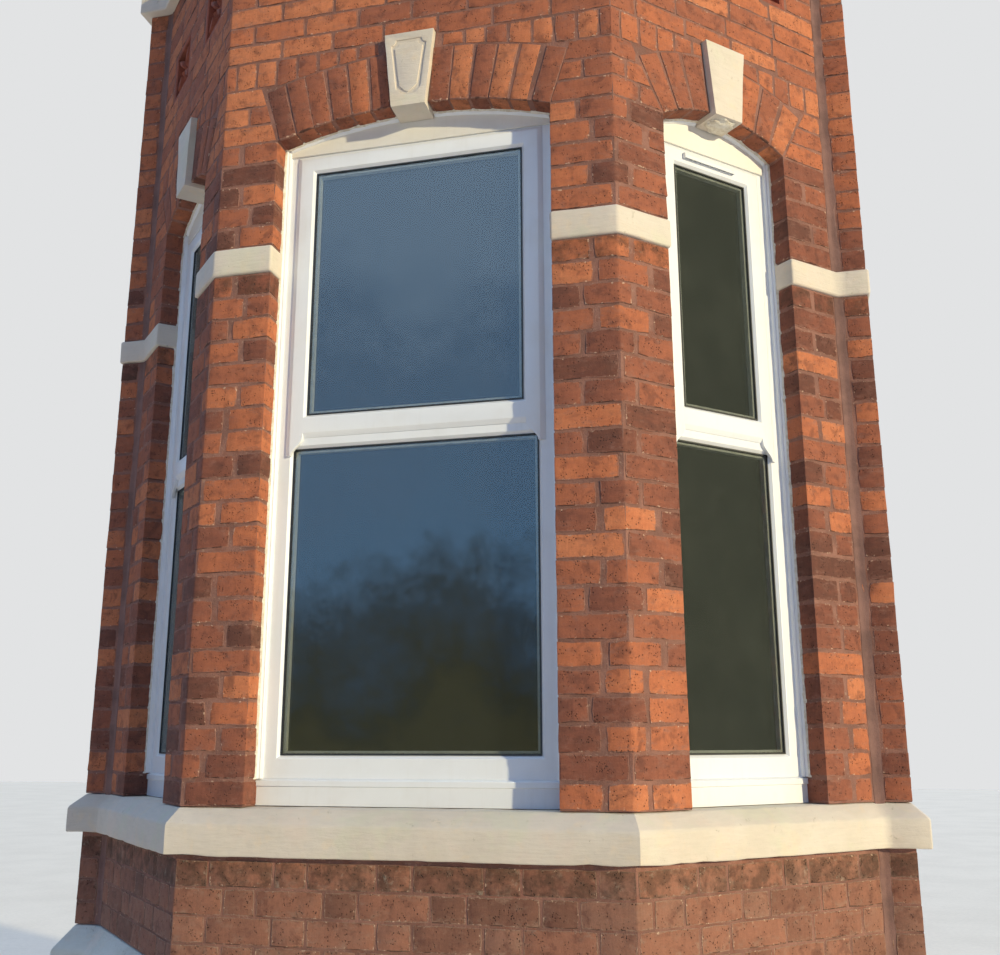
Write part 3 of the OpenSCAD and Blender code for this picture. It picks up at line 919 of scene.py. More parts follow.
def publish(name: str, bm: Shape, material: bpy.types.Material,
            stands_for: Sequence[str] = (), crease: float = 40.0, eased: float = 0.0) -> None:
    """Turns a finished bmesh into a piece of the bay.

    Args:
        name: The piece's name.
        bm: Its shape, in place. It is freed.
        material: Its material.
        stands_for: Nodes that the piece replaces.
        crease: Edges that turn more than this, in degrees, stay sharp.
        eased: Width of a rounding on every sharp edge, in metres.
    """
    bm.normal_update()
    for face in bm.faces:
        face.smooth = True
    for edge in bm.edges:
        edge.smooth = not edge.is_manifold or edge.calc_face_angle() < math.radians(crease)
    mesh = bpy.data.meshes.new(name)
    bm.to_mesh(mesh)
    bm.free()
    mesh.materials.append(material)
    piece = bpy.data.objects.new(name, mesh)
    bpy.context.scene.collection.objects.link(piece)
    if eased > 0:
        rounding = piece.modifiers.new("eased", "BEVEL")
        rounding.width = eased
        rounding.segments = 2
        rounding.limit_method = "ANGLE"
        rounding.angle_limit = math.radians(30)
    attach(piece, "root")
    if stands_for:
        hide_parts(*stands_for)
    log.info("%s: %d faces", name, len(mesh.polygons))


def dress(material: bpy.types.Material, *nodes: str) -> None:
    """Gives nodes that keep their own shape a better material.

    Args:
        material: The material.
        nodes: Names of the nodes.
    """
    for node in nodes:
        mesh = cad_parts[node].data
        mesh.materials.clear()
        mesh.materials.append(material)
        log.info("%s: dressed in %s", node, material.name)


def copy_of(node: str) -> Shape:
    """A merged copy of a node, with flat faces in one piece.

    Args:
        node: Name of the node.

    Returns:
        The copy.
    """
    bm = bmesh.new()
    bm.from_mesh(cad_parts[node].data)
    bmesh.ops.remove_doubles(bm, verts=bm.verts, dist=1e-5)
    bmesh.ops.dissolve_degenerate(bm, dist=1e-4, edges=bm.edges)
    bmesh.ops.dissolve_limit(bm, angle_limit=math.radians(0.5), verts=bm.verts, edges=bm.edges)
    return bm


def wander(p: Vector, scale: float, seed: float = 0.0) -> Vector:
    """A smooth random vector, up to about one long.

    Args:
        p: Where.
        scale: Changes to the metre, roughly.
        seed: Picks another pattern.

    Returns:
        The vector.
    """
    return noise.noise_vector(p * scale + Vector((seed, seed * 1.7, -seed)))


def everything(bm: Shape) -> list:
    """All of a mesh's geometry."""
    return list(bm.verts) + list(bm.edges) + list(bm.faces)


def bounded(faces: Iterable[Face]) -> list:
    """Faces with their edges and corners, each once and in the same order on each run.

    Args:
        faces: The faces, some of them perhaps more than once.

    Returns:
        All of their geometry.
    """
    once = list(dict.fromkeys(faces))
    edges = dict.fromkeys(e for f in once for e in f.edges)
    verts = dict.fromkeys(v for f in once for v in f.verts)
    return once + list(edges) + list(verts)


def edges_at(verts: Iterable[Vertex]) -> list[Edge]:
    """The edges that meet some vertices, each once and in the same order on each run."""
    return list(dict.fromkeys(e for v in verts for e in v.link_edges))


def corners(geometry: Iterable) -> list[Vertex]:
    """The vertices among some geometry, in its order."""
    return [g for g in geometry if isinstance(g, Vertex)]


def heights(bm: Shape) -> tuple[float, float]:
    """Heights of a mesh's foot and head."""
    levels = [v.co.z for v in bm.verts]
    return min(levels), max(levels)


def block(bm: Shape, middle: Sequence[float], size: Sequence[float],
          place: Matrix = Matrix.Identity(4)) -> list[Vertex]:
    """Adds a box.

    Args:
        bm: The mesh.
        middle: The box's middle.
        size: Its length, depth and height.
        place: Where all of that is put.

    Returns:
        Its corners.
    """
    matrix = place @ Matrix.Translation(middle) @ Matrix.Diagonal((*size, 1))
    return bmesh.ops.create_cube(bm, size=1.0, matrix=matrix)["verts"]


def sheet(bm: Shape, middle: Sequence[float], size: Sequence[float],
          counts: tuple[int, int] = (1, 1), place: Matrix = Matrix.Identity(4)
          ) -> list[Vertex]:
    """Adds an upright rectangle that looks to the front.

    Args:
        bm: The mesh.
        middle: The rectangle's middle.
        size: Its length and height.
        counts: Number of faces along it and up it.
        place: Where all of that is put.

    Returns:
        Its vertices.
    """
    matrix = place @ Matrix.Translation(middle) @ Matrix.Rotation(math.pi / 2, 4, "X")
    matrix @= Matrix.Diagonal((*size, 1, 1))
    return bmesh.ops.create_grid(
        bm, x_segments=counts[0], y_segments=counts[1], size=0.5, matrix=matrix
    )["verts"]


def bevel(bm: Shape, edges: Iterable[Edge], offset: float,
          segments: int = 2) -> dict:
    """Rounds edges over.

    Args:
        bm: The mesh.
        edges: The edges.
        offset: Width of the rounding on each side.
        segments: Number of faces across it.

    Returns:
        The operator's result.
    """
    return bmesh.ops.bevel(
        bm, geom=list(edges), offset=offset, offset_type="OFFSET", segments=segments, profile=0.5,
        affect="EDGES", material=-1, clamp_overlap=True
    )


def cut(bm: Shape, geometry: Iterable, point: Vector, normal: Vector,
        clear: bool = False) -> list:
    """Cuts some geometry along a plane.

    Args:
        bm: The mesh.
        geometry: What to cut.
        point: A point of the plane.
        normal: The plane's normal.
        clear: Takes away what lies on the normal's side.

    Returns:
        The geometry that is left.
    """
    made = bmesh.ops.bisect_plane(
        bm, geom=list(geometry), dist=1e-6, plane_co=point, plane_no=normal, clear_outer=clear
    )
    return [g for g in made["geom"] if g.is_valid]


# Brickwork

@dataclass
class Brick:
    """One brick's face on the straightened wall, with the planes that cut it."""

    t0: float
    t1: float
    z0: float
    z1: float
    cuts: list[Plane] = field(default_factory=list)
    # How dark the brick is, from 0 to 1: grime, with painted shade in the courses under the stone courses
    darkening: float = 0.0

    @property
    def middle(self) -> tuple[float, float]:
        """Middle of the face."""
        return (self.t0 + self.t1) / 2, (self.z0 + self.z1) / 2


@dataclass(frozen=True)
class Bonding:
    """How a stretch of bricks is laid: its joints, and how far its faces and edges stray."""

    bed: float
    perp: float
    proud: float
    stray: float
    tones: tuple[float, float] = (0.0, 1.0)
    sunk: float = 0.010
    arris: float = 0.0035
    turn: float = 0.005
    step: float = 0.050
    corner: float = 0.004


@dataclass
class Brickwork:
    """Bricks along a line, as one piece that stands proud of the mortar. Small chances come from rng."""

    name: str
    path: Path
    bonding: Bonding
    rng: random.Random
    bricks: list[Brick] = field(default_factory=list)

    def course(self, joints: Sequence[float], z0: float, z1: float, darkening: float = 0.0, wide: float = 0.0
               ) -> list[Brick]:
        """Lays one course between vertical joints.

        Args:
            joints: Distances of the joints, with both ends of the course.
            z0: Middle of the joint below.
            z1: Middle of the joint above.
            darkening: How dark the course is, from 0 to 1: grime, with painted shade in the courses under the
                stone courses.
            wide: Added to the joints inside the course.

        Returns:
            The course's bricks.
        """
        laid = []
        bed = self.bonding.bed
        for a, b in zip(joints, joints[1:]):
            gaps = [(self.bonding.perp + wide) * self.rng.uniform(0.35, 0.65) for _ in range(2)]
            low = z0 + bed * self.rng.uniform(0.35, 0.65)
            high = z1 - bed * self.rng.uniform(0.35, 0.65)
            start = a if a == joints[0] else a + gaps[0]
            end = b if b == joints[-1] else b - gaps[1]
            laid.append(Brick(start, end, low, high, darkening=darkening))
        self.bricks += laid
        return laid

    def build(self) -> Shape:
        """Makes all the bricks.

        Returns:
            Their mesh, in place.
        """
        bm = bmesh.new()
        layers = bm.verts.layers
        brick_layer = layers.float_vector.new("brick")
        size_layer = layers.float_vector.new("size")
        number = layers.int.new("number")
        for index, brick in enumerate(self.bricks):
            tone = self.rng.uniform(*self.bonding.tones)
            t, z = brick.middle
            half = Vector(((brick.t1 - brick.t0) / 2, (brick.z1 - brick.z0) / 2, brick.darkening))
            for v in self.face(bm, brick):
                v[brick_layer] = Vector((v.co.x - t, v.co.z - z, tone))
                v[size_layer] = half
                v[number] = index
        fronts = self.draw_out(bm, number)
        self.round_off(bm, fronts)
        self.bend(bm, number)
        bmesh.ops.remove_doubles(bm, verts=bm.verts, dist=1e-5)
        return bm

    def face(self, bm: Shape, brick: Brick) -> list[Vertex]:
        """Makes a brick's face, cut where the wall turns and by its own planes.

        Args:
            bm: The mesh.
            brick: The brick.

        Returns:
            The face's vertices.
        """
        t, z = brick.middle
        length, height = brick.t1 - brick.t0, brick.z1 - brick.z0
        count = max(2, round(length / self.bonding.step))
        verts = sheet(bm, (t, self.bonding.sunk, z), (length, height), (count, 2))
        geometry = bounded(f for v in verts for f in v.link_faces)
        for bend in self.path.bends:
            for turn in (bend - self.bonding.turn, bend, bend + self.bonding.turn):
                if brick.t0 + 0.002 < turn < brick.t1 - 0.002:
                    geometry = cut(bm, geometry, Vector((turn, 0, 0)), ALONG)
        for point, normal in brick.cuts:
            geometry = cut(bm, geometry, point, normal, True)
        left = corners(geometry)
        if left and self.too_small(left):
            bmesh.ops.delete(bm, geom=left, context="VERTS")
            return []
        return left

    @staticmethod
    def too_small(verts: list[Vertex]) -> bool:
        """Whether a cut brick is only a sliver."""
        ts = [v.co.x for v in verts]
        zs = [v.co.z for v in verts]
        return max(ts) - min(ts) < 0.026 or max(zs) - min(zs) < 0.024

    def draw_out(self, bm: Shape, number: object) -> set[Vertex]:
        """Draws every face out to the front of its brick, a little askew.

        Args:
            bm: The mesh.
            number: Layer with the brick's number.

        Returns:
            The vertices in front.
        """
        fronts = corners(bmesh.ops.extrude_face_region(bm, geom=list(bm.faces))["geom"])
        chance = self.rng.uniform
        leans = [(self.bonding.proud * chance(0.5, 1.4), chance(-1, 1), chance(-1, 1)) for _ in self.bricks]
        for v in fronts:
            brick = self.bricks[v[number]]
            proud, yaw, pitch = leans[v[number]]
            t, z = brick.middle
            x_off, z_off = v.co.x - t, v.co.z - z
            v.co.y = -proud - 0.006 * yaw * x_off - 0.015 * pitch * z_off
            at_end = min(abs(v.co.x - brick.t0), abs(v.co.x - brick.t1)) < 1e-4
            at_bed = min(abs(v.co.z - brick.z0), abs(v.co.z - brick.z1)) < 1e-4
            if at_end and at_bed:
                worn = self.bonding.corner * chance(0.2, 1.0)
                v.co.x -= math.copysign(worn, x_off)
                v.co.z -= math.copysign(worn * 0.6, z_off)
        return set(fronts)

    def round_off(self, bm: Shape, fronts: set[Vertex]) -> None:
        """Wears down the edges round each brick's face.

        Args:
            bm: The mesh.
            fronts: Vertices of the faces.
        """
        faces = {f for v in fronts for f in v.link_faces if all(w in fronts for w in f.verts)}
        rim = [e for e in bm.edges if sum(f in faces for f in e.link_faces) == 1]
        bevel(bm, rim, self.bonding.arris)

    def bend(self, bm: Shape, number: object) -> None:
        """Roughens the bricks and bends the straight wall round its corners.

        Args:
            bm: The mesh.
            number: Layer with the brick's number.
        """
        stray = self.bonding.stray
        turn = self.bonding.turn
        for v in bm.verts:
            t, out, z = v.co.x, -v.co.y, v.co.z
            bent = min((abs(t - bend) for bend in self.path.bends), default=1.0)
            if bent < 1e-5:
                out -= 0.25 * turn if out > 0 else 0.0
            if out > -self.bonding.sunk * 0.9:
                at, seed = Vector((t, 0, z)), v[number] * 0.37
                off = wander(at, 18, seed) * stray + wander(at, 55, seed) * stray * 0.6
                t += off.x if bent > turn + 1e-4 else 0.0
                z += off.z
                out = max(out + off.y * 0.3, 0.0004) if out > 0 else out
            p = self.path.place(t, out, z)
            p.y = min(p.y, BAY.back_y)
            v.co = p


def fitted(a: float, b: float, sizes: Sequence[float]) -> list[float]:
    """Joints between a and b for bricks of sizes that repeat, stretched a little so that they just fit.

    Args:
        a: Where the row starts.
        b: Where it ends.
        sizes: Sizes with their joints, in order.

    Returns:
        The joints between the two, without a and b.
    """
    span = b - a
    rows: list[list[float]] = []
    ends = [0.0]
    while ends[-1] < span * 1.4:
        ends.append(ends[-1] + sizes[(len(ends) - 1) % len(sizes)])
        rows.append(list(ends))
    best = min(rows, key=lambda row: abs(row[-1] - span))
    return [a + e * span / best[-1] for e in best[1:-1]]


class ArchTrim:
    """Cuts bricks back from an arch and its keystone."""

    gap = 0.005

    def __init__(self, window: Opening) -> None:
        """Places the arch on the straightened wall.

        Args:
            window: The opening under the arch.
        """
        self.window = window
        self.centre = Vector((window.along, 0, window.centre_z))
        self.outer = window.radius + RING
        angle = window.half_angle
        self.corner = Vector((self.outer * math.sin(angle), 0, self.outer * math.cos(angle)))

    def plane(self, angle: float, distance: float) -> Plane:
        """The plane square to a ray from the arch's centre, which clears the centre's side.

        Args:
            angle: The ray's angle to the right of upright.
            distance: How far along the ray.

        Returns:
            The plane.
        """
        ray = Vector((math.sin(angle), 0, math.cos(angle)))
        return self.centre + ray * distance, -ray

    def key_edge(self, z: float) -> float:
        """Half the keystone's width at a height."""
        foot = BAY.crown_z - KEY_DROP
        head = foot + self.key_height()
        return (KEY_FOOT + (KEY_HEAD - KEY_FOOT) * (z - foot) / (head - foot)) / 2

    @staticmethod
    def key_height() -> float:
        """Height of a keystone."""
        low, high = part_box("keystones")
        return high.z - low.z

    def trim(self, brick: Brick) -> Iterator[Brick]:
        """Cuts one brick.

        Args:
            brick: The brick.

        Yields:
            What is left of it, none, one or two bricks.
        """
        t, z = brick.middle
        x = t - self.window.along
        reach = self.corner.x + 0.3
        key_top = BAY.crown_z - KEY_DROP + self.key_height()
        if abs(x) > reach or brick.z0 > key_top:
            yield brick
            return
        corner_z = self.centre.z + self.corner.z
        side = 1 if x > 0 else -1
        if brick.z0 < corner_z - 0.02:
            if abs(x) >= self.window.width / 2 - 0.02:
                brick.cuts.append(self.skew_plane(side))
                yield brick
            return
        crown = self.centre.z + self.outer
        inner = max(0.0, min(abs(brick.t0 - self.window.along), abs(brick.t1 - self.window.along)))
        if brick.t0 < self.window.along < brick.t1:
            inner = 0.0
        if brick.z0 < crown + self.gap and inner < self.corner.x:
            angle = math.asin(max(-0.99, min(0.99, x / self.outer)))
            brick.cuts.append(self.plane(angle, self.outer + self.gap))
        key = self.key_edge(z) + self.gap
        if inner > key:
            yield brick
            return
        if brick.z0 > key_top - 0.03:
            brick.z0 = max(brick.z0, key_top + self.gap)
            yield brick
            return
        for way in (-1, 1):
            edge = self.window.along + way * key
            if way * ((brick.t1 if way > 0 else brick.t0) - edge) > 0.02:
                t0, t1 = (edge, brick.t1) if way > 0 else (brick.t0, edge)
                yield Brick(t0, t1, brick.z0, brick.z1, list(brick.cuts), brick.darkening)

    def skew_plane(self, side: int) -> Plane:
        """The plane of the skewback on one side, which clears the arch's side.

        Args:
            side: 1 for the right and -1 for the left.

        Returns:
            The plane.
        """
        angle = self.window.half_angle
        away = Vector((side * math.cos(angle), 0, -math.sin(angle)))
        return self.centre + away * self.gap, -away


TIGHT = Bonding(bed=0.007, perp=0.008, proud=0.0015, stray=0.0020)
LOOSE = Bonding(bed=0.009, perp=0.014, proud=0.0018, stray=0.0045)
UPPER = Bonding(bed=0.007, perp=0.008, proud=0.0016, stray=0.0034, tones=(0.48, 1.0))


@dataclass
class Masonry:
    """The brick parts of the bay: mortar, bricks, arches and the fillets in the inner corners."""

    palette: Palette
    rng: random.Random = field(default_factory=lambda: random.Random(41))
    # Darkening of the dado's courses from the foot up; the top one, under the cill, is darkest: grime and
    # painted shade
    dado_darkening: tuple[float, ...] = (0.25, 0.1, 0.2, 1.0)
    dado_top_joint: float = 0.012
    panel_joint: float = 0.005
    arch_brick: float = 0.080
    arch_joint: float = 0.008
    arch_depth: float = 0.105
    arch_arris: float = 0.0035
    key_joint: float = 0.006
    fillet_step: float = 0.045
    fillet_sunk: float = 0.010

    def build(self) -> None:
        """Builds all of the brickwork."""
        walls = [f"{part}_{side.value}" for part in ("dado", "upper_wall", "arch") for side in Side]
        piers = [f"pier_{place}_{side}" for place in ("front", "back") for side in ("left", "right")]
        dress(self.palette.mortar, *walls, *piers)
        self.dado()
        self.piers()
        self.upper_walls()
        self.parapet()
        for window in OPENINGS.values():
            self.arch(window)
        self.fillets()

    def show(self, work: Brickwork, material: bpy.types.Material) -> None:
        """Publishes one stretch of bricks."""
        publish(work.name, work.build(), material, crease=50)

    def dado(self) -> None:
        """Flemish bond between the plinth and the cill."""
        work = Brickwork("bricks_dado", LINE, TIGHT, self.rng)
        rise = (BAY.cill_z - BAY.dado_z - self.dado_top_joint) / len(self.dado_darkening)
        for row, darkening in enumerate(self.dado_darkening):
            z0 = BAY.dado_z + row * rise
            joints = self.dado_joints(row % 2 == 1)
            work.course(self.jittered(joints, 0.003), z0, z0 + rise, darkening)
        self.show(work, self.palette.dado_brick)

    def dado_joints(self, odd: bool) -> list[float]:
        """Vertical joints of one course of the dado.

        Args:
            odd: Whether the course starts its corners with headers.

        Returns:
            Every joint from end to end, with gaps at the inner corners left for the fillets.
        """
        at = LINE.at
        half = [at[0]]
        half += [] if odd else [at[1] - 0.055]
        inner = at[2] + FILLET
        if odd:
            marks = [inner, inner + 0.105, at[3] - 0.002, at[3] + HEADER]
            sizes = (STRETCHER, HEADER)
        else:
            marks = [inner, inner + 0.175, at[3] - 0.060, at[3] + 0.175]
            sizes = (HEADER, STRETCHER)
        half += [at[2] - FILLET] + marks[:2] + fitted(marks[1], marks[2], sizes) + marks[2:]
        middle = fitted(marks[3], at[4] - (marks[3] - at[3]), sizes)
        return half + middle + [LINE.length - j for j in reversed(half)]

    def jittered(self, joints: Sequence[float], by: float) -> list[float]:
        """Joints moved a little each, but for the two ends.

        Args:
            joints: The joints.
            by: The furthest that one moves.

        Returns:
            The moved joints.
        """
        moved = [j + self.rng.uniform(-by, by) for j in joints]
        moved[0], moved[-1] = joints[0], joints[-1]
        return moved

    def piers(self) -> None:
        """The piers between the windows, below and above their impost stones, with the reveals."""
        for name, path, layout in self.pier_lines():
            for part, z0, z1 in (("", BAY.pier_z, BAY.impost_z), ("_above", BAY.upper_z, BAY.spring_z)):
                work = Brickwork("bricks_" + name + part, path, LOOSE, self.rng)
                rows = round((z1 - z0) / COURSE)
                rise = (z1 - z0) / rows
                last = ""
                for row in range(rows):
                    kind, joints, wide = layout(last)
                    last = kind
                    # The top course, under the impost stones, is darkened most: grime and painted shade under
                    # the stones
                    darkening = 0.9 if row == rows - 1 and part == "" else 0.12
                    low = z0 + row * rise
                    work.course(self.jittered(joints, 0.005), low, low + rise, darkening, wide)
                self.show(work, self.palette.brick)

    def pier_lines(self) -> list[tuple[str, Path, Callable]]:
        """Line and joints of each pier.

        Returns:
            For each pier its name, its line from reveal to reveal, and what picks a course's joints.
        """
        front = OPENINGS[Side.FRONT]
        side = OPENINGS[Side.LEFT]
        near, near_in, far, far_in = (
            side.matrix @ Vector((way * side.width / 2, depth, 0)) for way in (1, -1) for depth in (0, REVEAL)
        )
        edge = (-front.width / 2, BAY.front_y)
        corner_line = Path([near_in, near, LINE.points[3], edge, (edge[0], edge[1] + REVEAL)])
        back_line = Path([LINE.points[0], LINE.points[1], LINE.points[2], far, far_in])
        lines = []
        for name, line, layout in (
            ("pier_front", corner_line, self.corner_course), ("pier_back", back_line, self.back_course)
        ):
            lines.append((name + "_left", line, lambda last, f=layout, p=line: f(p, last, False)))
            turned = line.mirrored()
            lines.append((name + "_right", turned, lambda last, f=layout, p=turned: f(p, last, True)))
        return lines

    def corner_course(self, path: Path, last: str, turned: bool) -> tuple[str, list[float], float]:
        """Joints of one course of a front pier, whose corner is at its middle.

        Args:
            path: The pier's line.
            last: Kind of the course below.
            turned: Whether the pier is the right one.

        Returns:
            The kind of course, its joints, and what is added to their width.
        """
        corner, end = path.length / 2, path.length
        kinds = {
            "whole": ([corner], 0.004),
            "headers": ([corner - 0.066, end - REVEAL - 0.100], 0.0),
            "closers": ([corner - 0.140, end - REVEAL - 0.150], 0.006),
            "mixed": ([corner - 0.066, corner + 0.085], 0.003),
        }
        kind = self.rng.choice([k for k in kinds if k != last])
        inner, wide = kinds[kind]
        inner = [end - j for j in reversed(inner)] if turned else inner
        return kind, [0.0] + inner + [end], wide

    def back_course(self, path: Path, last: str, turned: bool) -> tuple[str, list[float], float]:
        """Joints of one course of a back pier and its nib.

        Args:
            path: The pier's line, from the back plane to the reveal.
            last: Kind of the course below.
            turned: Whether the pier is the right one.

        Returns:
            The kind of course, its joints, and what is added to their width.
        """
        end = path.length
        inner_corner = end - path.at[2] if turned else path.at[2]
        kinds = {
            "whole": [inner_corner - FILLET, inner_corner + FILLET],
            "halves": [inner_corner - FILLET, inner_corner + FILLET, inner_corner + 0.118],
            "nib_split": [NIB - 0.055, inner_corner - FILLET, inner_corner + FILLET, inner_corner + 0.150],
        }
        kind = self.rng.choice([k for k in kinds if k != last])
        inner = kinds[kind]
        inner = [end - j for j in reversed(inner)] if turned else inner
        return kind, [0.0] + inner + [end], 0.0

    def upper_rows(self) -> list[tuple[float, float, str]]:
        """Heights of the upper walls' courses, with the kind of each.

        Returns:
            For each course its bottom, its top and its kind.
        """
        panel_top = BAY.panel_z + PANEL
        upright = (BAY.spring_z + 0.242, BAY.spring_z + 0.360)
        rows = []
        for z0, z1, count, kind in (
            (BAY.spring_z, upright[0], 3, "beside"), (upright[0], upright[1], 1, "upright"),
            (upright[1], BAY.panel_z, 4, "plain"), (BAY.panel_z, panel_top, 3, "panel"),
            (panel_top, BAY.string_z, 4, "plain"),
        ):
            rise = (z1 - z0) / count
            rows += [(z0 + i * rise, z0 + (i + 1) * rise, kind) for i in range(count)]
        return rows

    def upper_walls(self) -> None:
        """The walls above the springing, cut round the arches and the panels."""
        work = Brickwork("bricks_upper_walls", LINE, UPPER, self.rng)
        rows = self.upper_rows()
        for row, (z0, z1, kind) in enumerate(rows):
            joints = self.upper_joints(kind, row % 2 == 1)
            # The top course, under the string course, is darkened most: grime and painted shade under the
            # stones
            darkening = 0.8 if row == len(rows) - 1 else 0.1
            bricks = work.course(self.jittered(joints, 0.004), z0, z1, darkening)
            if kind == "panel":
                self.leave_panels_out(work, bricks)
        for window in OPENINGS.values():
            trim = ArchTrim(window)
            work.bricks = [part for brick in work.bricks for part in trim.trim(brick)]
        work.bricks = [brick for brick in work.bricks if not self.in_inner_corner(brick)]
        self.show(work, self.palette.brick)

    @staticmethod
    def in_inner_corner(brick: Brick) -> bool:
        """Whether a brick is only the space that a fillet fills."""
        off = min(abs(brick.middle[0] - LINE.at[i]) for i in (2, 5))
        return off < 0.004 and brick.t1 - brick.t0 < 2.2 * FILLET

    def upper_joints(self, kind: str, odd: bool) -> list[float]:
        """Vertical joints of one course of the upper walls.

        Args:
            kind: The kind of course.
            odd: Whether it breaks joint with the even ones.

        Returns:
            Every joint from end to end.
        """
        at = LINE.at
        half = [at[0]] + ([] if odd else [at[1] - 0.050]) + [at[2] - FILLET, at[2] + FILLET]
        inner = half[-1]
        if kind == "upright":
            sizes = (0.083,)
            marks = [at[3] - 0.042, at[3] + 0.042]
        else:
            sizes = (STRETCHER,)
            marks = [at[3] - 0.064, at[3] + 0.110] if odd else [at[3] - 0.120, at[3] + 0.225]
        half += fitted(inner, marks[0], sizes) + marks
        middle = fitted(marks[-1], at[4] - (marks[-1] - at[3]), sizes)
        if kind == "panel":
            return self.panel_joints(half[:5 - odd], odd)
        return half + middle + [LINE.length - j for j in reversed(half)]

    def panel_joints(self, start: list[float], odd: bool) -> list[float]:
        """Joints of a course beside the panels, which fit between them.

        Args:
            start: Joints up to the first inner corner.
            odd: Whether the course breaks joint with the even ones.

        Returns:
            Every joint from end to end.
        """
        marks = sorted(
            centre + way * (PANEL / 2 + self.panel_joint)
            for centre in self.panel_centres() for way in (-1, 1)
        )
        start = [j for j in start if j < LINE.at[2] + 2 * FILLET]
        joints = list(start)
        ends = [LINE.length - j for j in reversed(start)]
        stops = marks + [ends[0]]
        for stop in stops:
            last = joints[-1]
            corner = next((c for c in (LEFT_CORNER, RIGHT_CORNER) if last < c < stop), None)
            if corner is not None:
                joints += [corner - 0.100] if odd else [corner + 0.010]
            elif stop - last > 0.28 or (odd and stop - last > 0.2 and stop not in marks[1::2]):
                joints += fitted(last, stop, (HEADER if odd else STRETCHER,))
            joints.append(stop)
        return joints + ends[1:]

    @staticmethod
    def panel_centres() -> list[float]:
        """Distances of the panels' middles along the line."""
        counts = {Side.LEFT: 2, Side.FRONT: 3, Side.RIGHT: 2}
        return [
            OPENINGS[side].along + (i - (count - 1) / 2) * PANEL_PITCH
            for side, count in counts.items() for i in range(count)
        ]

    def leave_panels_out(self, work: Brickwork, bricks: list[Brick]) -> None:
        """Takes away what a course has in front of the panels.

        Args:
            work: The bricks.
            bricks: The course.
        """
        for brick in bricks:
            if any(abs(brick.middle[0] - centre) < PANEL / 2 for centre in self.panel_centres()):
                work.bricks.remove(brick)

    def parapet(self) -> None:
        """The parapet's inner face, above the lead."""
        lead_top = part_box("lead_roof")[1].z
        inner = [LINE.place(LINE.at[i], -WALL, 0) for i in (4, 3)]
        reach = (BAY.back_y - inner[0].y) / math.tan(CANT)
        ends = [(inner[0].x + reach, BAY.back_y), (inner[1].x - reach, BAY.back_y)]
        path = Path([ends[0], inner[0], inner[1], ends[1]])
        work = Brickwork("bricks_parapet_inside", path, UPPER, self.rng)
        rows = round((BAY.string_z - lead_top) / COURSE)
        rise = (BAY.string_z - lead_top) / rows
        for row in range(rows):
            shift = 0.12 if row % 2 else 0.0
            inner_joints = fitted(shift, path.length - shift, (STRETCHER,))
            joints = [0.0] + ([shift] if shift else []) + inner_joints
            joints += ([path.length - shift] if shift else []) + [path.length]
            low, high = lead_top + row * rise, lead_top + (row + 1) * rise
            work.course(self.jittered(joints, 0.004), low, high, darkening=0.35)
        self.show(work, self.palette.brick)

    def arch(self, window: Opening) -> None:
        """The bricks of one arch, which stand on their ends beside its keystone.

        Args:
            window: The opening under the arch.
        """
        bm = bmesh.new()
        brick_layer = bm.verts.layers.float_vector.new("brick")
        size_layer = bm.verts.layers.float_vector.new("size")
        key_angle = (KEY_FOOT / 2 + self.key_joint) / window.radius
        span = window.half_angle - key_angle
        count = round(span * (window.radius + 0.07) / self.arch_brick)
        pitch = span / count
        width = pitch * window.radius - self.arch_joint
        for side in (-1, 1):
            for i in range(count):
                angle = side * (key_angle + (i + 0.5) * pitch) + self.rng.uniform(-0.003, 0.003)
                tone = self.rng.uniform(0.15, 1.0)
                before = set(bm.verts)
                self.voussoir(bm, window, width * self.rng.uniform(0.95, 1.03))
                for v in set(bm.verts) - before:
                    local = v.co
                    inside = max(0.0, local.y)
                    v[brick_layer] = Vector((local.x, local.z + inside - window.radius - RING / 2, tone))
                    # The third number darkens the brick, more the further in under the arch it lies: grime,
                    # and painted shade in the soffit
                    v[size_layer] = Vector((width / 2, RING / 2, 0.25 + 5 * inside))
                    self.set_voussoir(v, window, angle)
        publish("bricks_arch_" + window.side.value, bm, self.palette.brick, crease=50)

    def voussoir(self, bm: Shape, window: Opening, width: float) -> None:
        """Makes one brick of an arch upright over the arch's centre.

        Args:
            bm: The mesh.
            window: The opening.
            width: The brick's width.
        """
        depth = self.arch_depth
        proud = self.rng.uniform(0.002, 0.0045)
        hang = self.rng.uniform(0.001, 0.004)
        top = RING - self.rng.uniform(0.003, 0.006)
        middle = (0, (depth - proud) / 2, window.radius + (top - hang) / 2)
        verts = block(bm, middle, (width, depth + proud, top + hang))
        shaped = bevel(bm, edges_at(verts), self.arch_arris)
        geometry = bounded([*shaped["faces"], *(f for v in shaped["verts"] for f in v.link_faces)])
        for share in (0.33, 0.66):
            geometry = cut(bm, geometry, UP * (window.radius + share * RING), UP)

    def set_voussoir(self, v: Vertex, window: Opening, angle: float) -> None:
        """Tapers and roughens a vertex of an upright brick and turns it to its place in the arch.

        Args:
            v: The vertex.
            window: The opening.
            angle: The brick's place.
        """
        p = v.co.copy()
        p.x *= 1 + 0.8 * (p.z / window.radius - 1)
        p += wander(p, 24, angle * 40) * 0.0022 * (1 if p.y < 0.09 else 0)
        c, s = math.cos(angle), math.sin(angle)
        x, z = p.x * c + p.z * s, p.z * c - p.x * s
        v.co = window.matrix @ Vector((x, p.y, window.centre_z + z))

    def fillets(self) -> None:
        """Mortar smeared into the two inner corners, from the cill and the dado to the string course."""
        bm = bmesh.new()
        for z0, z1 in (
            (BAY.dado_z, BAY.cill_z - 0.004), (BAY.pier_z - 0.02, BAY.impost_z), (BAY.upper_z, BAY.string_z)
        ):
            for corner in (2, 5):
                self.fillet(bm, LINE.at[corner], z0, z1)
        publish("mortar_fillets", bm, self.palette.fillet, crease=60)

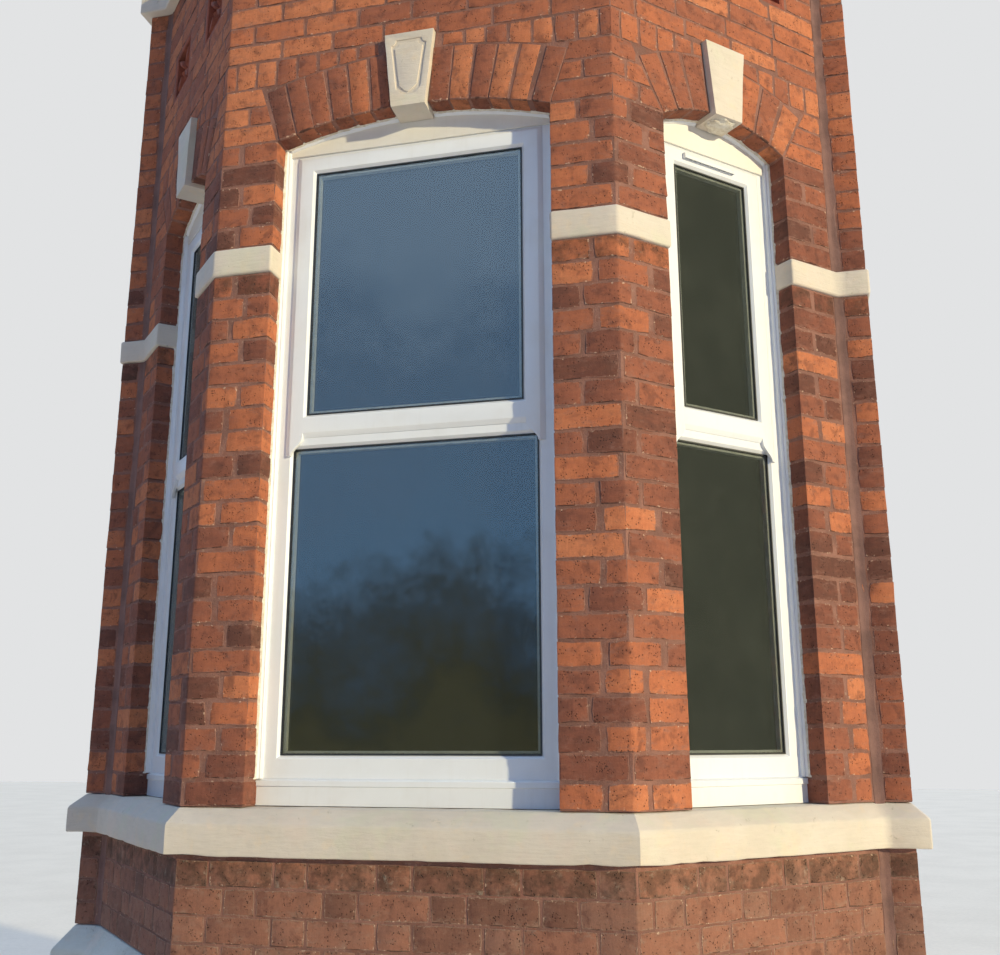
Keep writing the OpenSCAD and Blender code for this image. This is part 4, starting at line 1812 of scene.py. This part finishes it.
    def fillet(self, bm: Shape, t: float, z0: float, z1: float) -> None:
        """Makes one strip of mortar in an inner corner.

        Args:
            bm: The mesh.
            t: Distance of the corner along the line.
            z0: Foot of the strip.
            z1: Head of the strip.
        """
        rows = max(2, round((z1 - z0) / self.fillet_step))
        verts = sheet(bm, (t, -0.012, (z0 + z1) / 2), (2 * FILLET + 0.006, z1 - z0), (4, rows))
        faces = list(dict.fromkeys(f for v in verts for f in v.link_faces))
        fronts = set(corners(bmesh.ops.extrude_face_region(bm, geom=faces)["geom"]))
        for v in set(verts) | fronts:
            lift = 0.0
            across = (v.co.x - t) / FILLET
            if v in fronts:
                lift = 0.0012 + 0.0022 * max(0.0, 1 - across * across)
                v.co.x += noise.noise(Vector((v.co.z * 11, t, across))) * 0.009
            out = lift if v in fronts else -self.fillet_sunk
            p = LINE.place(v.co.x, out, v.co.z)
            v.co = p + wander(p, 30) * (0.0015 if v in fronts else 0)


# Stone courses

@dataclass(frozen=True)
class Wear:
    """How a run of painted stone has worn."""

    arris: float
    dent: float
    ragged: float
    step: float


COURSES = {
    "plinth": Wear(arris=0.010, dent=0.0035, ragged=0.0, step=0.090),
    "cill": Wear(arris=0.008, dent=0.0035, ragged=0.006, step=0.045),
    "string": Wear(arris=0.008, dent=0.0030, ragged=0.004, step=0.060),
}
IMPOST = Wear(arris=0.011, dent=0.0032, ragged=0.005, step=0.045)
KEYSTONE = Wear(arris=0.010, dent=0.0045, ragged=0.005, step=0.05)


@dataclass(frozen=True)
class Stonework:
    """The painted stone courses, keystones and plinth, worn from copies of their nodes."""

    palette: Palette
    impost_lap: float = 0.008
    impost_lap_depth: float = 0.074
    keystone_layers: int = 9
    crust_size: tuple[float, float, float] = (0.060, 0.046, 0.016)
    crust_place: tuple[float, float, float] = (0.006, 0.030, 0.003)

    def build(self) -> None:
        """Builds every stone."""
        for course, wear in COURSES.items():
            material = self.palette.plinth if course == "plinth" else self.palette.stone
            for side in Side:
                node = f"{course}_{side.value}"
                bm = copy_of(node)
                self.wear(bm, wear, self.stretches(side))
                publish(node + "_stones", bm, material, [node], crease=50)
        self.imposts()
        self.keystones()

    @staticmethod
    def stretches(side: Side) -> list[int]:
        """Stretches of the line that the pieces on one side cover."""
        return {Side.LEFT: [0, 1, 2], Side.FRONT: [3], Side.RIGHT: [4, 5, 6]}[side]

    def wear(self, bm: Shape, wear: Wear, stretches: Sequence[int]) -> None:
        """Rounds the arrises of a stone and dents its faces.

        Args:
            bm: The stone.
            wear: How worn it is.
            stretches: Stretches of the line that it covers.
        """
        top = heights(bm)[1]
        self.round_arrises(bm, wear.arris)
        for i in stretches:
            length = LINE.at[i + 1] - LINE.at[i]
            count = round(length / wear.step)
            for k in range(1, count):
                self.slice(bm, LINE.place(LINE.at[i] + length * k / count, 0, 0), LINE.way(i).to_3d(), i)
        low, high = heights(bm)
        self.slice_levels(bm, max(2, round((high - low) / wear.step)))
        self.dent(bm, wear)
        for v in bm.verts:
            v.co.z = min(v.co.z, top)

    @staticmethod
    def slice_levels(bm: Shape, count: int) -> None:
        """Cuts a stone into level layers of one height.

        Args:
            bm: The stone.
            count: Number of layers.
        """
        low, high = heights(bm)
        for k in range(1, count):
            cut(bm, everything(bm), UP * (low + (high - low) * k / count), UP)

    def slice(self, bm: Shape, point: Vector, way: Vector, stretch: int) -> None:
        """Cuts a stone across, where it belongs to one stretch of the line.

        Args:
            bm: The stone.
            point: A point of the cut.
            way: Direction of the stretch.
            stretch: The stretch.
        """
        normal = LINE.normal(stretch).to_3d()
        near = [
            f for f in bm.faces
            if abs(f.normal.dot(way)) < 0.9 and (f.calc_center_median() - point).dot(normal) > -0.30
            and any(-0.20 < (v.co - point).dot(normal) < 0.15 for v in f.verts)
        ]
        if near:
            cut(bm, bounded(near), point, way)

    @staticmethod
    def round_arrises(bm: Shape, offset: float) -> None:
        """Bevels the outer arrises of a stone, but none on its mitres or its back.

        Args:
            bm: The stone.
            offset: Width of the bevel.
        """
        edges = [
            e for e in bm.edges
            if e.is_manifold and e.calc_face_angle_signed() > math.radians(18)
            and not any(on_joint(f) for f in e.link_faces)
        ]
        bevel(bm, edges, offset, 3)

    @staticmethod
    def dent(bm: Shape, wear: Wear) -> None:
        """Moves the faces of a stone in a little, at random, and wears its lower edge.

        Args:
            bm: The stone.
            wear: How worn it is.
        """
        low = heights(bm)[0]
        moves = {}
        for v in bm.verts:
            free = [f.normal for f in v.link_faces if not on_joint(f)]
            if not free:
                continue
            way = sum(free, Vector()).normalized()
            broad, fine = noise.noise(v.co * 9), noise.noise(v.co * 31)
            move = -way * (wear.dent * (0.5 + 0.5 * broad) + wear.dent * 0.4 * abs(fine))
            if wear.ragged and v.co.z < low + 0.02 and way.z < 0.3:
                move.z += wear.ragged * max(0.0, noise.noise(v.co * 14) + 0.35 * noise.noise(v.co * 47))
            for f in v.link_faces:
                if on_joint(f):
                    move -= f.normal * move.dot(f.normal)
            moves[v] = move
        for v, move in moves.items():
            v.co += move

    def imposts(self) -> None:
        """The four impost stones, with their rounded ends standing a little into the openings."""
        bm = copy_of("impost_stones")
        depth = self.impost_lap_depth
        for window in OPENINGS.values():
            into_frame = window.matrix.inverted()
            point = window.matrix @ Vector((0, depth, 0))
            for side in (-1, 1):
                edge = side * window.width / 2
                jamb = [
                    f for f in bm.faces if all(abs((into_frame @ v.co).x - edge) < 0.002 for v in f.verts)
                ]
                near = [f for g in jamb for e in g.edges for f in e.link_faces]
                if near:
                    cut(bm, bounded(near), point, window.inward)
                for v in bm.verts:
                    at = into_frame @ v.co
                    if abs(at.x - edge) < 0.002 and at.y < depth + 0.001:
                        lap = side * self.impost_lap * (1 if at.y < depth - 0.001 else 0.9)
                        v.co -= window.matrix.to_3x3() @ Vector((lap, 0, 0))
        self.wear(bm, IMPOST, range(7))
        publish("impost_blocks", bm, self.palette.stone, ["impost_stones"], crease=50)

    def keystones(self) -> None:
        """The keystones, worn and with a crust of mortar under the right one."""
        bm = copy_of("keystones")
        self.round_arrises(bm, KEYSTONE.arris)
        low = heights(bm)[0]
        self.slice_levels(bm, self.keystone_layers)
        self.dent(bm, KEYSTONE)
        publish("keystone_blocks", bm, self.palette.stone, ["keystones"], crease=50)
        self.crust(OPENINGS[Side.RIGHT], low)

    def crust(self, window: Opening, low: float) -> None:
        """A crumbling lump of mortar under a keystone.

        Args:
            window: The opening under it.
            low: Height of the keystone's foot.
        """
        bm = bmesh.new()
        bmesh.ops.create_icosphere(bm, subdivisions=4, radius=1.0)
        middle = Vector(self.crust_place) + UP * low
        for v in bm.verts:
            p = Vector([along * size for along, size in zip(v.co, self.crust_size)])
            p *= 1 + 0.28 * noise.noise(v.co * 1.7) + 0.14 * noise.noise(v.co * 5)
            v.co = window.matrix @ (p + middle)
        publish("keystone_mortar", bm, self.palette.sealant, crease=60)


def on_joint(face: Face) -> bool:
    """Whether a face meets another stone, the house or the ground, so that it stays flat.

    Args:
        face: The face.

    Returns:
        True on a mitre at the front corners, on the back plane and on the ground.
    """
    if face.normal.y > 0.999 and all(abs(v.co.y - BAY.back_y) < 1e-4 for v in face.verts):
        return True
    if face.normal.z < -0.999 and all(abs(v.co.z) < 1e-4 for v in face.verts):
        return True
    for corner in (3, 4):
        mitre = LINE.mitre(corner)
        across = Vector((mitre.y, -mitre.x, 0)).normalized()
        if abs(face.normal.dot(across)) > 0.999:
            point = LINE.place(LINE.at[corner], 0, 0)
            if all(abs((v.co - point).dot(across)) < 1e-4 for v in face.verts):
                return True
    return False


# Windows

def draw_through(bm: Shape, rings: Sequence[Sequence[Vector]]) -> None:
    """Draws a section out through a row of like sections, closed at both ends.

    Args:
        bm: The mesh.
        rings: Points of each section, all in the same order, clockwise as seen from where the row goes.
    """
    place = bm.verts.layers.int.get("place") or bm.verts.layers.int.new("place")
    start = [bm.verts.new(p) for p in rings[0]]
    for i, v in enumerate(start):
        v[place] = i
    face = bm.faces.new(start)
    for ring in rings[1:]:
        made = bmesh.ops.extrude_face_region(bm, geom=[face])
        face = next(g for g in made["geom"] if isinstance(g, Face))
        for v in face.verts:
            v.co = ring[v[place]]
    bmesh.ops.recalc_face_normals(bm, faces=bm.faces)


@dataclass(frozen=True)
class Pane:
    """One pane of a window: half its width, its foot and head, and the depth of its front face."""

    half: float
    z0: float
    z1: float
    front: float


@dataclass
class Window:
    """One window of the bay, with all that is fixed in its opening."""

    window: Opening
    palette: Palette

    @property
    def name(self) -> str:
        """Name of the window's side."""
        return self.window.side.value

    @property
    def panes(self) -> tuple[Pane, Pane]:
        """The lower pane and the pane of the top light."""
        half = self.window.width / 2
        depth = REVEAL + SPLAY
        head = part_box(f"glass_{self.name}")[1].z
        return (
            Pane(half - LOW_INSET, BAY.low_glass_z, BAY.low_glass_z + LOW_GLASS, depth),
            Pane(half - TOP_INSET, BAY.top_glass_z, head, depth - LIGHT_OUT),
        )

    def build(self) -> None:
        """Builds the window."""
        for node in ("frame", "top_light"):
            name = f"{node}_{self.name}"
            publish(name + "_plastic", copy_of(name), self.palette.white, [name],
                    crease=35, eased=0.0012)
        self.glass()
        self.rings("gaskets", 0.0050, -0.0040, 0.0045, 0.0, self.palette.gasket)
        self.rings("spacers", 0.0085, 0.0045, 0.0200, 0.0060, self.palette.spacer)
        self.sealant()

    def glass(self) -> None:
        """Two sheets in each pane."""
        front = self.palette.dusty_sheet if self.window.side is Side.RIGHT else self.palette.sheet
        # The back sheets are near-black and almost opaque: painted shade of the dim room behind the windows
        for name, material, offset in (("front", front, 0.0), ("back", self.palette.room_shade_sheet, SHEET_PITCH)):
            bm = bmesh.new()
            for pane in self.panes:
                middle = (0, pane.front + offset + GLASS / 2, (pane.z0 + pane.z1) / 2)
                size = (2 * pane.half, GLASS, pane.z1 - pane.z0)
                verts = block(bm, middle, size, self.window.matrix)
                bevel(bm, edges_at(verts), 0.0006, 1)
            stands_for = [f"glass_{self.name}"] if name == "front" else []
            publish(f"glass_{self.name}_{name}_sheets", bm, material, stands_for, crease=30)

    def rings(self, name: str, width: float, front: float, depth: float, inset: float,
              material: bpy.types.Material) -> None:
        """A square-cut ring round each pane.

        Args:
            name: What the rings are.
            width: Width of their face.
            front: Where the face is behind the pane's front.
            depth: How far they go in.
            inset: How far inside the pane's edge they start.
            material: Their material.
        """
        bm = bmesh.new()
        for pane in self.panes:
            middle = (0, pane.front + front, (pane.z0 + pane.z1) / 2)
            size = (2 * (pane.half - inset), pane.z1 - pane.z0 - 2 * inset)
            face = sheet(bm, middle, size, place=self.window.matrix)[0].link_faces[0]
            made = bmesh.ops.inset_region(
                bm, faces=[face], thickness=width, use_even_offset=True, use_boundary=True
            )
            bmesh.ops.delete(bm, geom=[face], context="FACES_ONLY")
            drawn = bmesh.ops.extrude_face_region(bm, geom=made["faces"], use_keep_orig=True)
            bmesh.ops.translate(bm, verts=corners(drawn["geom"]), vec=self.window.inward * depth)
        bmesh.ops.recalc_face_normals(bm, faces=bm.faces)
        publish(f"{name}_{self.name}", bm, material, crease=30)

    def sealant(self) -> None:
        """A ragged bead between the architrave and the brickwork, up the jambs and round the arch."""
        bm = bmesh.new()
        window = self.window
        step = 0.022
        half = window.width / 2
        foot = BAY.pier_z + 0.086
        rise = BAY.spring_z - foot
        count = round(rise / step)
        line = [(-half, foot + rise * k / count, 0.0) for k in range(count + 1)]
        arc = round(2 * window.half_angle * window.radius / step)
        for k in range(1, arc):
            angle = window.half_angle * (2 * k / arc - 1)
            x, z = window.radius * math.sin(angle), window.radius * math.cos(angle)
            line.append((x, window.centre_z + z, angle))
        line += [(half, z, 0.0) for _, z, _ in reversed(line[:count + 1])]
        rings = []
        for k, (x, z, angle) in enumerate(line):
            if k <= count:
                inward = Vector((1, 0, 0))
            elif k >= len(line) - count - 1:
                inward = Vector((-1, 0, 0))
            else:
                inward = Vector((-math.sin(angle), 0, -math.cos(angle)))
            spread = 0.006 + 0.004 * noise.noise(Vector((x * 30, z * 30, 1.0)))
            reach = 0.012 + 0.008 * noise.noise(Vector((x * 24, z * 24, 5.0)))
            base = Vector((x, REVEAL - TRIM_OUT, z))
            rings.append([
                window.matrix @ (base - inward * 0.003 + Vector((0, 0.003, 0))),
                window.matrix @ (base - inward * 0.003 + Vector((0, -reach, 0))),
                window.matrix @ (base + inward * 0.0035 + Vector((0, -reach * 0.35, 0))),
                window.matrix @ (base + inward * spread + Vector((0, -0.0015, 0))),
                window.matrix @ (base + inward * spread + Vector((0, 0.003, 0))),
            ])
        draw_through(bm, rings)
        publish(f"sealant_{self.name}", bm, self.palette.sealant, crease=60)


@dataclass(frozen=True)
class Joinery:
    """What the three windows share: architraves, head panels, stub cills, the vent and the boards inside."""

    palette: Palette

    def build(self) -> None:
        """Builds the windows and what goes with them."""
        for window in OPENINGS.values():
            Window(window, self.palette).build()
        for node, name, material in (
            ("architraves", "architrave_mouldings", self.palette.white),
            ("head_panels", "arched_head_boards", self.palette.cream),
            ("stub_cills", "stub_cill_sections", self.palette.white),
            ("trickle_vent", "vent_hood", self.palette.white),
            ("window_boards", "inside_boards", self.palette.white),
        ):
            publish(name, copy_of(node), material, [node], crease=35, eased=0.0010)


# Inside and roof

@dataclass(frozen=True)
class Inside:
    """Floor, plaster, ceiling, joists and roof."""

    palette: Palette
    board_w: float = 0.118
    board_gap: float = 0.0025

    def build(self) -> None:
        """Builds and dresses all of it."""
        dress(self.palette.terracotta, "terracotta_panels")
        dress(self.palette.plaster, "plaster_lining", "ceiling")
        dress(self.palette.timber, "roof_boards")
        publish("sawn_joists", copy_of("joists"), self.palette.timber, ["joists"], eased=0.002)
        publish("lead_sheets", copy_of("lead_roof"), self.palette.lead, ["lead_roof"], eased=0.002)
        self.floor()

    def floor(self) -> None:
        """Floor boards from side to side, cut to the plan of the room."""
        low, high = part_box("floor_boards")
        corner = LINE.place(LEFT_CORNER, -WALL, 0)
        bm = bmesh.new()
        rows = round((high.y - low.y) / self.board_w)
        pitch = (high.y - low.y) / rows
        for row in range(rows):
            y0 = low.y + row * pitch + self.board_gap / 2
            y1 = low.y + (row + 1) * pitch - self.board_gap / 2
            block(bm, (0, (y0 + y1) / 2, (low.z + high.z) / 2), (high.x - low.x, y1 - y0, high.z - low.z))
        for stretch, mirror in ((2, 1), (4, -1)):
            normal = LINE.normal(stretch).to_3d()
            point = Vector((corner.x * mirror, corner.y, 0))
            cut(bm, everything(bm), point, normal, True)
        bmesh.ops.holes_fill(bm, edges=[e for e in bm.edges if e.is_boundary])
        bmesh.ops.recalc_face_normals(bm, faces=bm.faces)
        publish("floor_boards_laid", bm, self.palette.boards, ["floor_boards"], eased=0.0015)


# Studio

@dataclass(frozen=True)
class Camera:
    """Where the photograph was taken from, and how far the lens sees."""

    place: tuple[float, float, float] = (1.18857, -3.82764, 1.35668)
    yaw: float = 0.24159
    pitch: float = 0.23946
    roll: float = 0.00169
    lens: float = 38.83
    sensor: float = 36.0

    def build(self) -> None:
        """Sets the camera up."""
        data = bpy.data.cameras.new("camera")
        data.lens = self.lens
        data.sensor_width = self.sensor
        data.sensor_fit = "HORIZONTAL"
        camera = bpy.data.objects.new("camera", data)
        turn = Matrix.Rotation(self.yaw, 4, "Z") @ Matrix.Rotation(math.pi / 2 + self.pitch, 4, "X")
        camera.matrix_world = Matrix.Translation(self.place) @ turn @ Matrix.Rotation(-self.roll, 4, "Z")
        bpy.context.scene.collection.objects.link(camera)
        bpy.context.scene.camera = camera


@dataclass(frozen=True)
class Lamp:
    """A sun. Its angles are in degrees, its bearing taken from the front to the right."""

    name: str
    bearing: float
    height: float
    strength: float
    softness: float
    colour: Colour

    def build(self) -> None:
        """Adds the lamp to the scene."""
        data = bpy.data.lights.new(self.name, "SUN")
        data.energy = self.strength
        data.angle = math.radians(self.softness)
        data.color = self.colour
        lamp = bpy.data.objects.new(self.name, data)
        around, up = math.radians(self.bearing), math.radians(self.height)
        towards = Vector((math.sin(around) * math.cos(up), -math.cos(around) * math.cos(up), math.sin(up)))
        lamp.matrix_world = towards.to_track_quat("Z", "Y").to_matrix().to_4x4()
        bpy.context.scene.collection.objects.link(lamp)


@dataclass(frozen=True)
class Studio:
    """Plain floor and soft light."""

    palette: Palette
    lamps: tuple[Lamp, ...] = (
        Lamp("sun", bearing=62.0, height=11.0, strength=3.7, softness=1.5, colour=(1.0, 0.88, 0.56)),
        Lamp("sky_lamp", bearing=-10.0, height=84.0, strength=0.8, softness=30.0, colour=(0.70, 0.85, 1.0)),
        Lamp("back_lamp", bearing=165.0, height=35.0, strength=1.3, softness=20.0, colour=(1.0, 0.97, 0.92)),
    )
    fill: float = 0.33
    mirrored: float = 2.5
    reach: float = 30.0

    def build(self) -> None:
        """Sets the floor and the lights up."""
        self.floor()
        for lamp in self.lamps:
            lamp.build()
        self.sky()
        bpy.context.scene.view_settings.view_transform = "Standard"

    def floor(self) -> None:
        """A wide pale floor."""
        bm = bmesh.new()
        bmesh.ops.create_grid(bm, x_segments=8, y_segments=8, size=self.reach)
        mesh = bpy.data.meshes.new("studio_floor")
        bm.to_mesh(mesh)
        bm.free()
        mesh.materials.append(self.palette.ground)
        floor = bpy.data.objects.new("studio_floor", mesh)
        bpy.context.scene.collection.objects.link(floor)

    def sky(self) -> None:
        """Pale surroundings, soft blue light, and what the glass mirrors."""
        world = bpy.data.worlds.new("surroundings")
        bpy.context.scene.world = world
        s = Shader(world)
        rays = s.node("ShaderNodeLightPath").outputs
        plain = self.glow(s, paint(226, 227, 228), 1.0)
        soft = self.glow(s, (0.23, 0.45, 1.0), self.fill)
        mirrored = self.glow(s, self.mirrored_colour(s), self.mirrored)
        lit = self.either(s, rays["Is Glossy Ray"], soft, mirrored)
        seen = self.either(s, rays["Is Camera Ray"], lit, plain)
        s.node("ShaderNodeOutputWorld", None, {"Surface": seen})

    @staticmethod
    def either(s: Shader, which: bpy.types.NodeSocket, one: bpy.types.NodeSocket,
               other: bpy.types.NodeSocket) -> bpy.types.NodeSocket:
        """One light, or the other where which is 1."""
        return s.node("ShaderNodeMixShader", None, {"Fac": which, 1: one, 2: other}).outputs[0]

    @staticmethod
    def glow(s: Shader, colour: object, strength: float) -> bpy.types.NodeSocket:
        """Even light from all round."""
        return s.node("ShaderNodeBackground", None, {"Color": colour, "Strength": strength}).outputs[0]

    @staticmethod
    def mirrored_colour(s: Shader) -> bpy.types.NodeSocket:
        """What the glass mirrors: a dark ground under a ragged skyline, blue overhead, darker to the right.

        Args:
            s: The world.

        Returns:
            The colour.
        """
        ways = s.node("ShaderNodeTexCoord").outputs["Generated"]
        given = {"Vector": ways, "Scale": 8.0, "Detail": 10.0, "Roughness": 0.78}
        patches = Value(s, s.node("ShaderNodeTexNoise", None, given).outputs["Fac"])
        x, _, z = s.split(ways)
        skyline = patches.maths("MULTIPLY_ADD", patches, 0.36, -0.18)
        colour = s.ramp(z + skyline, [
            (0.0, paint(96, 95, 66)), (0.03, paint(80, 82, 62)), (0.10, paint(84, 104, 120)),
            (0.17, paint(124, 170, 214)), (0.32, paint(130, 168, 208)), (0.45, paint(166, 202, 238)),
            (1.0, paint(196, 222, 250)),
        ])
        return s.mix(x.between(0.45, 0.85), colour, paint(96, 98, 82))


def main() -> None:
    """Builds the bay and its studio."""
    logging.basicConfig(level=logging.INFO, format="%(message)s")
    noise.seed_set(NOISE_SEED)
    palette = Palette()
    Camera().build()
    Masonry(palette).build()
    Stonework(palette).build()
    Joinery(palette).build()
    Inside(palette).build()
    Studio(palette).build()


if __name__ == "__main__":
    main()
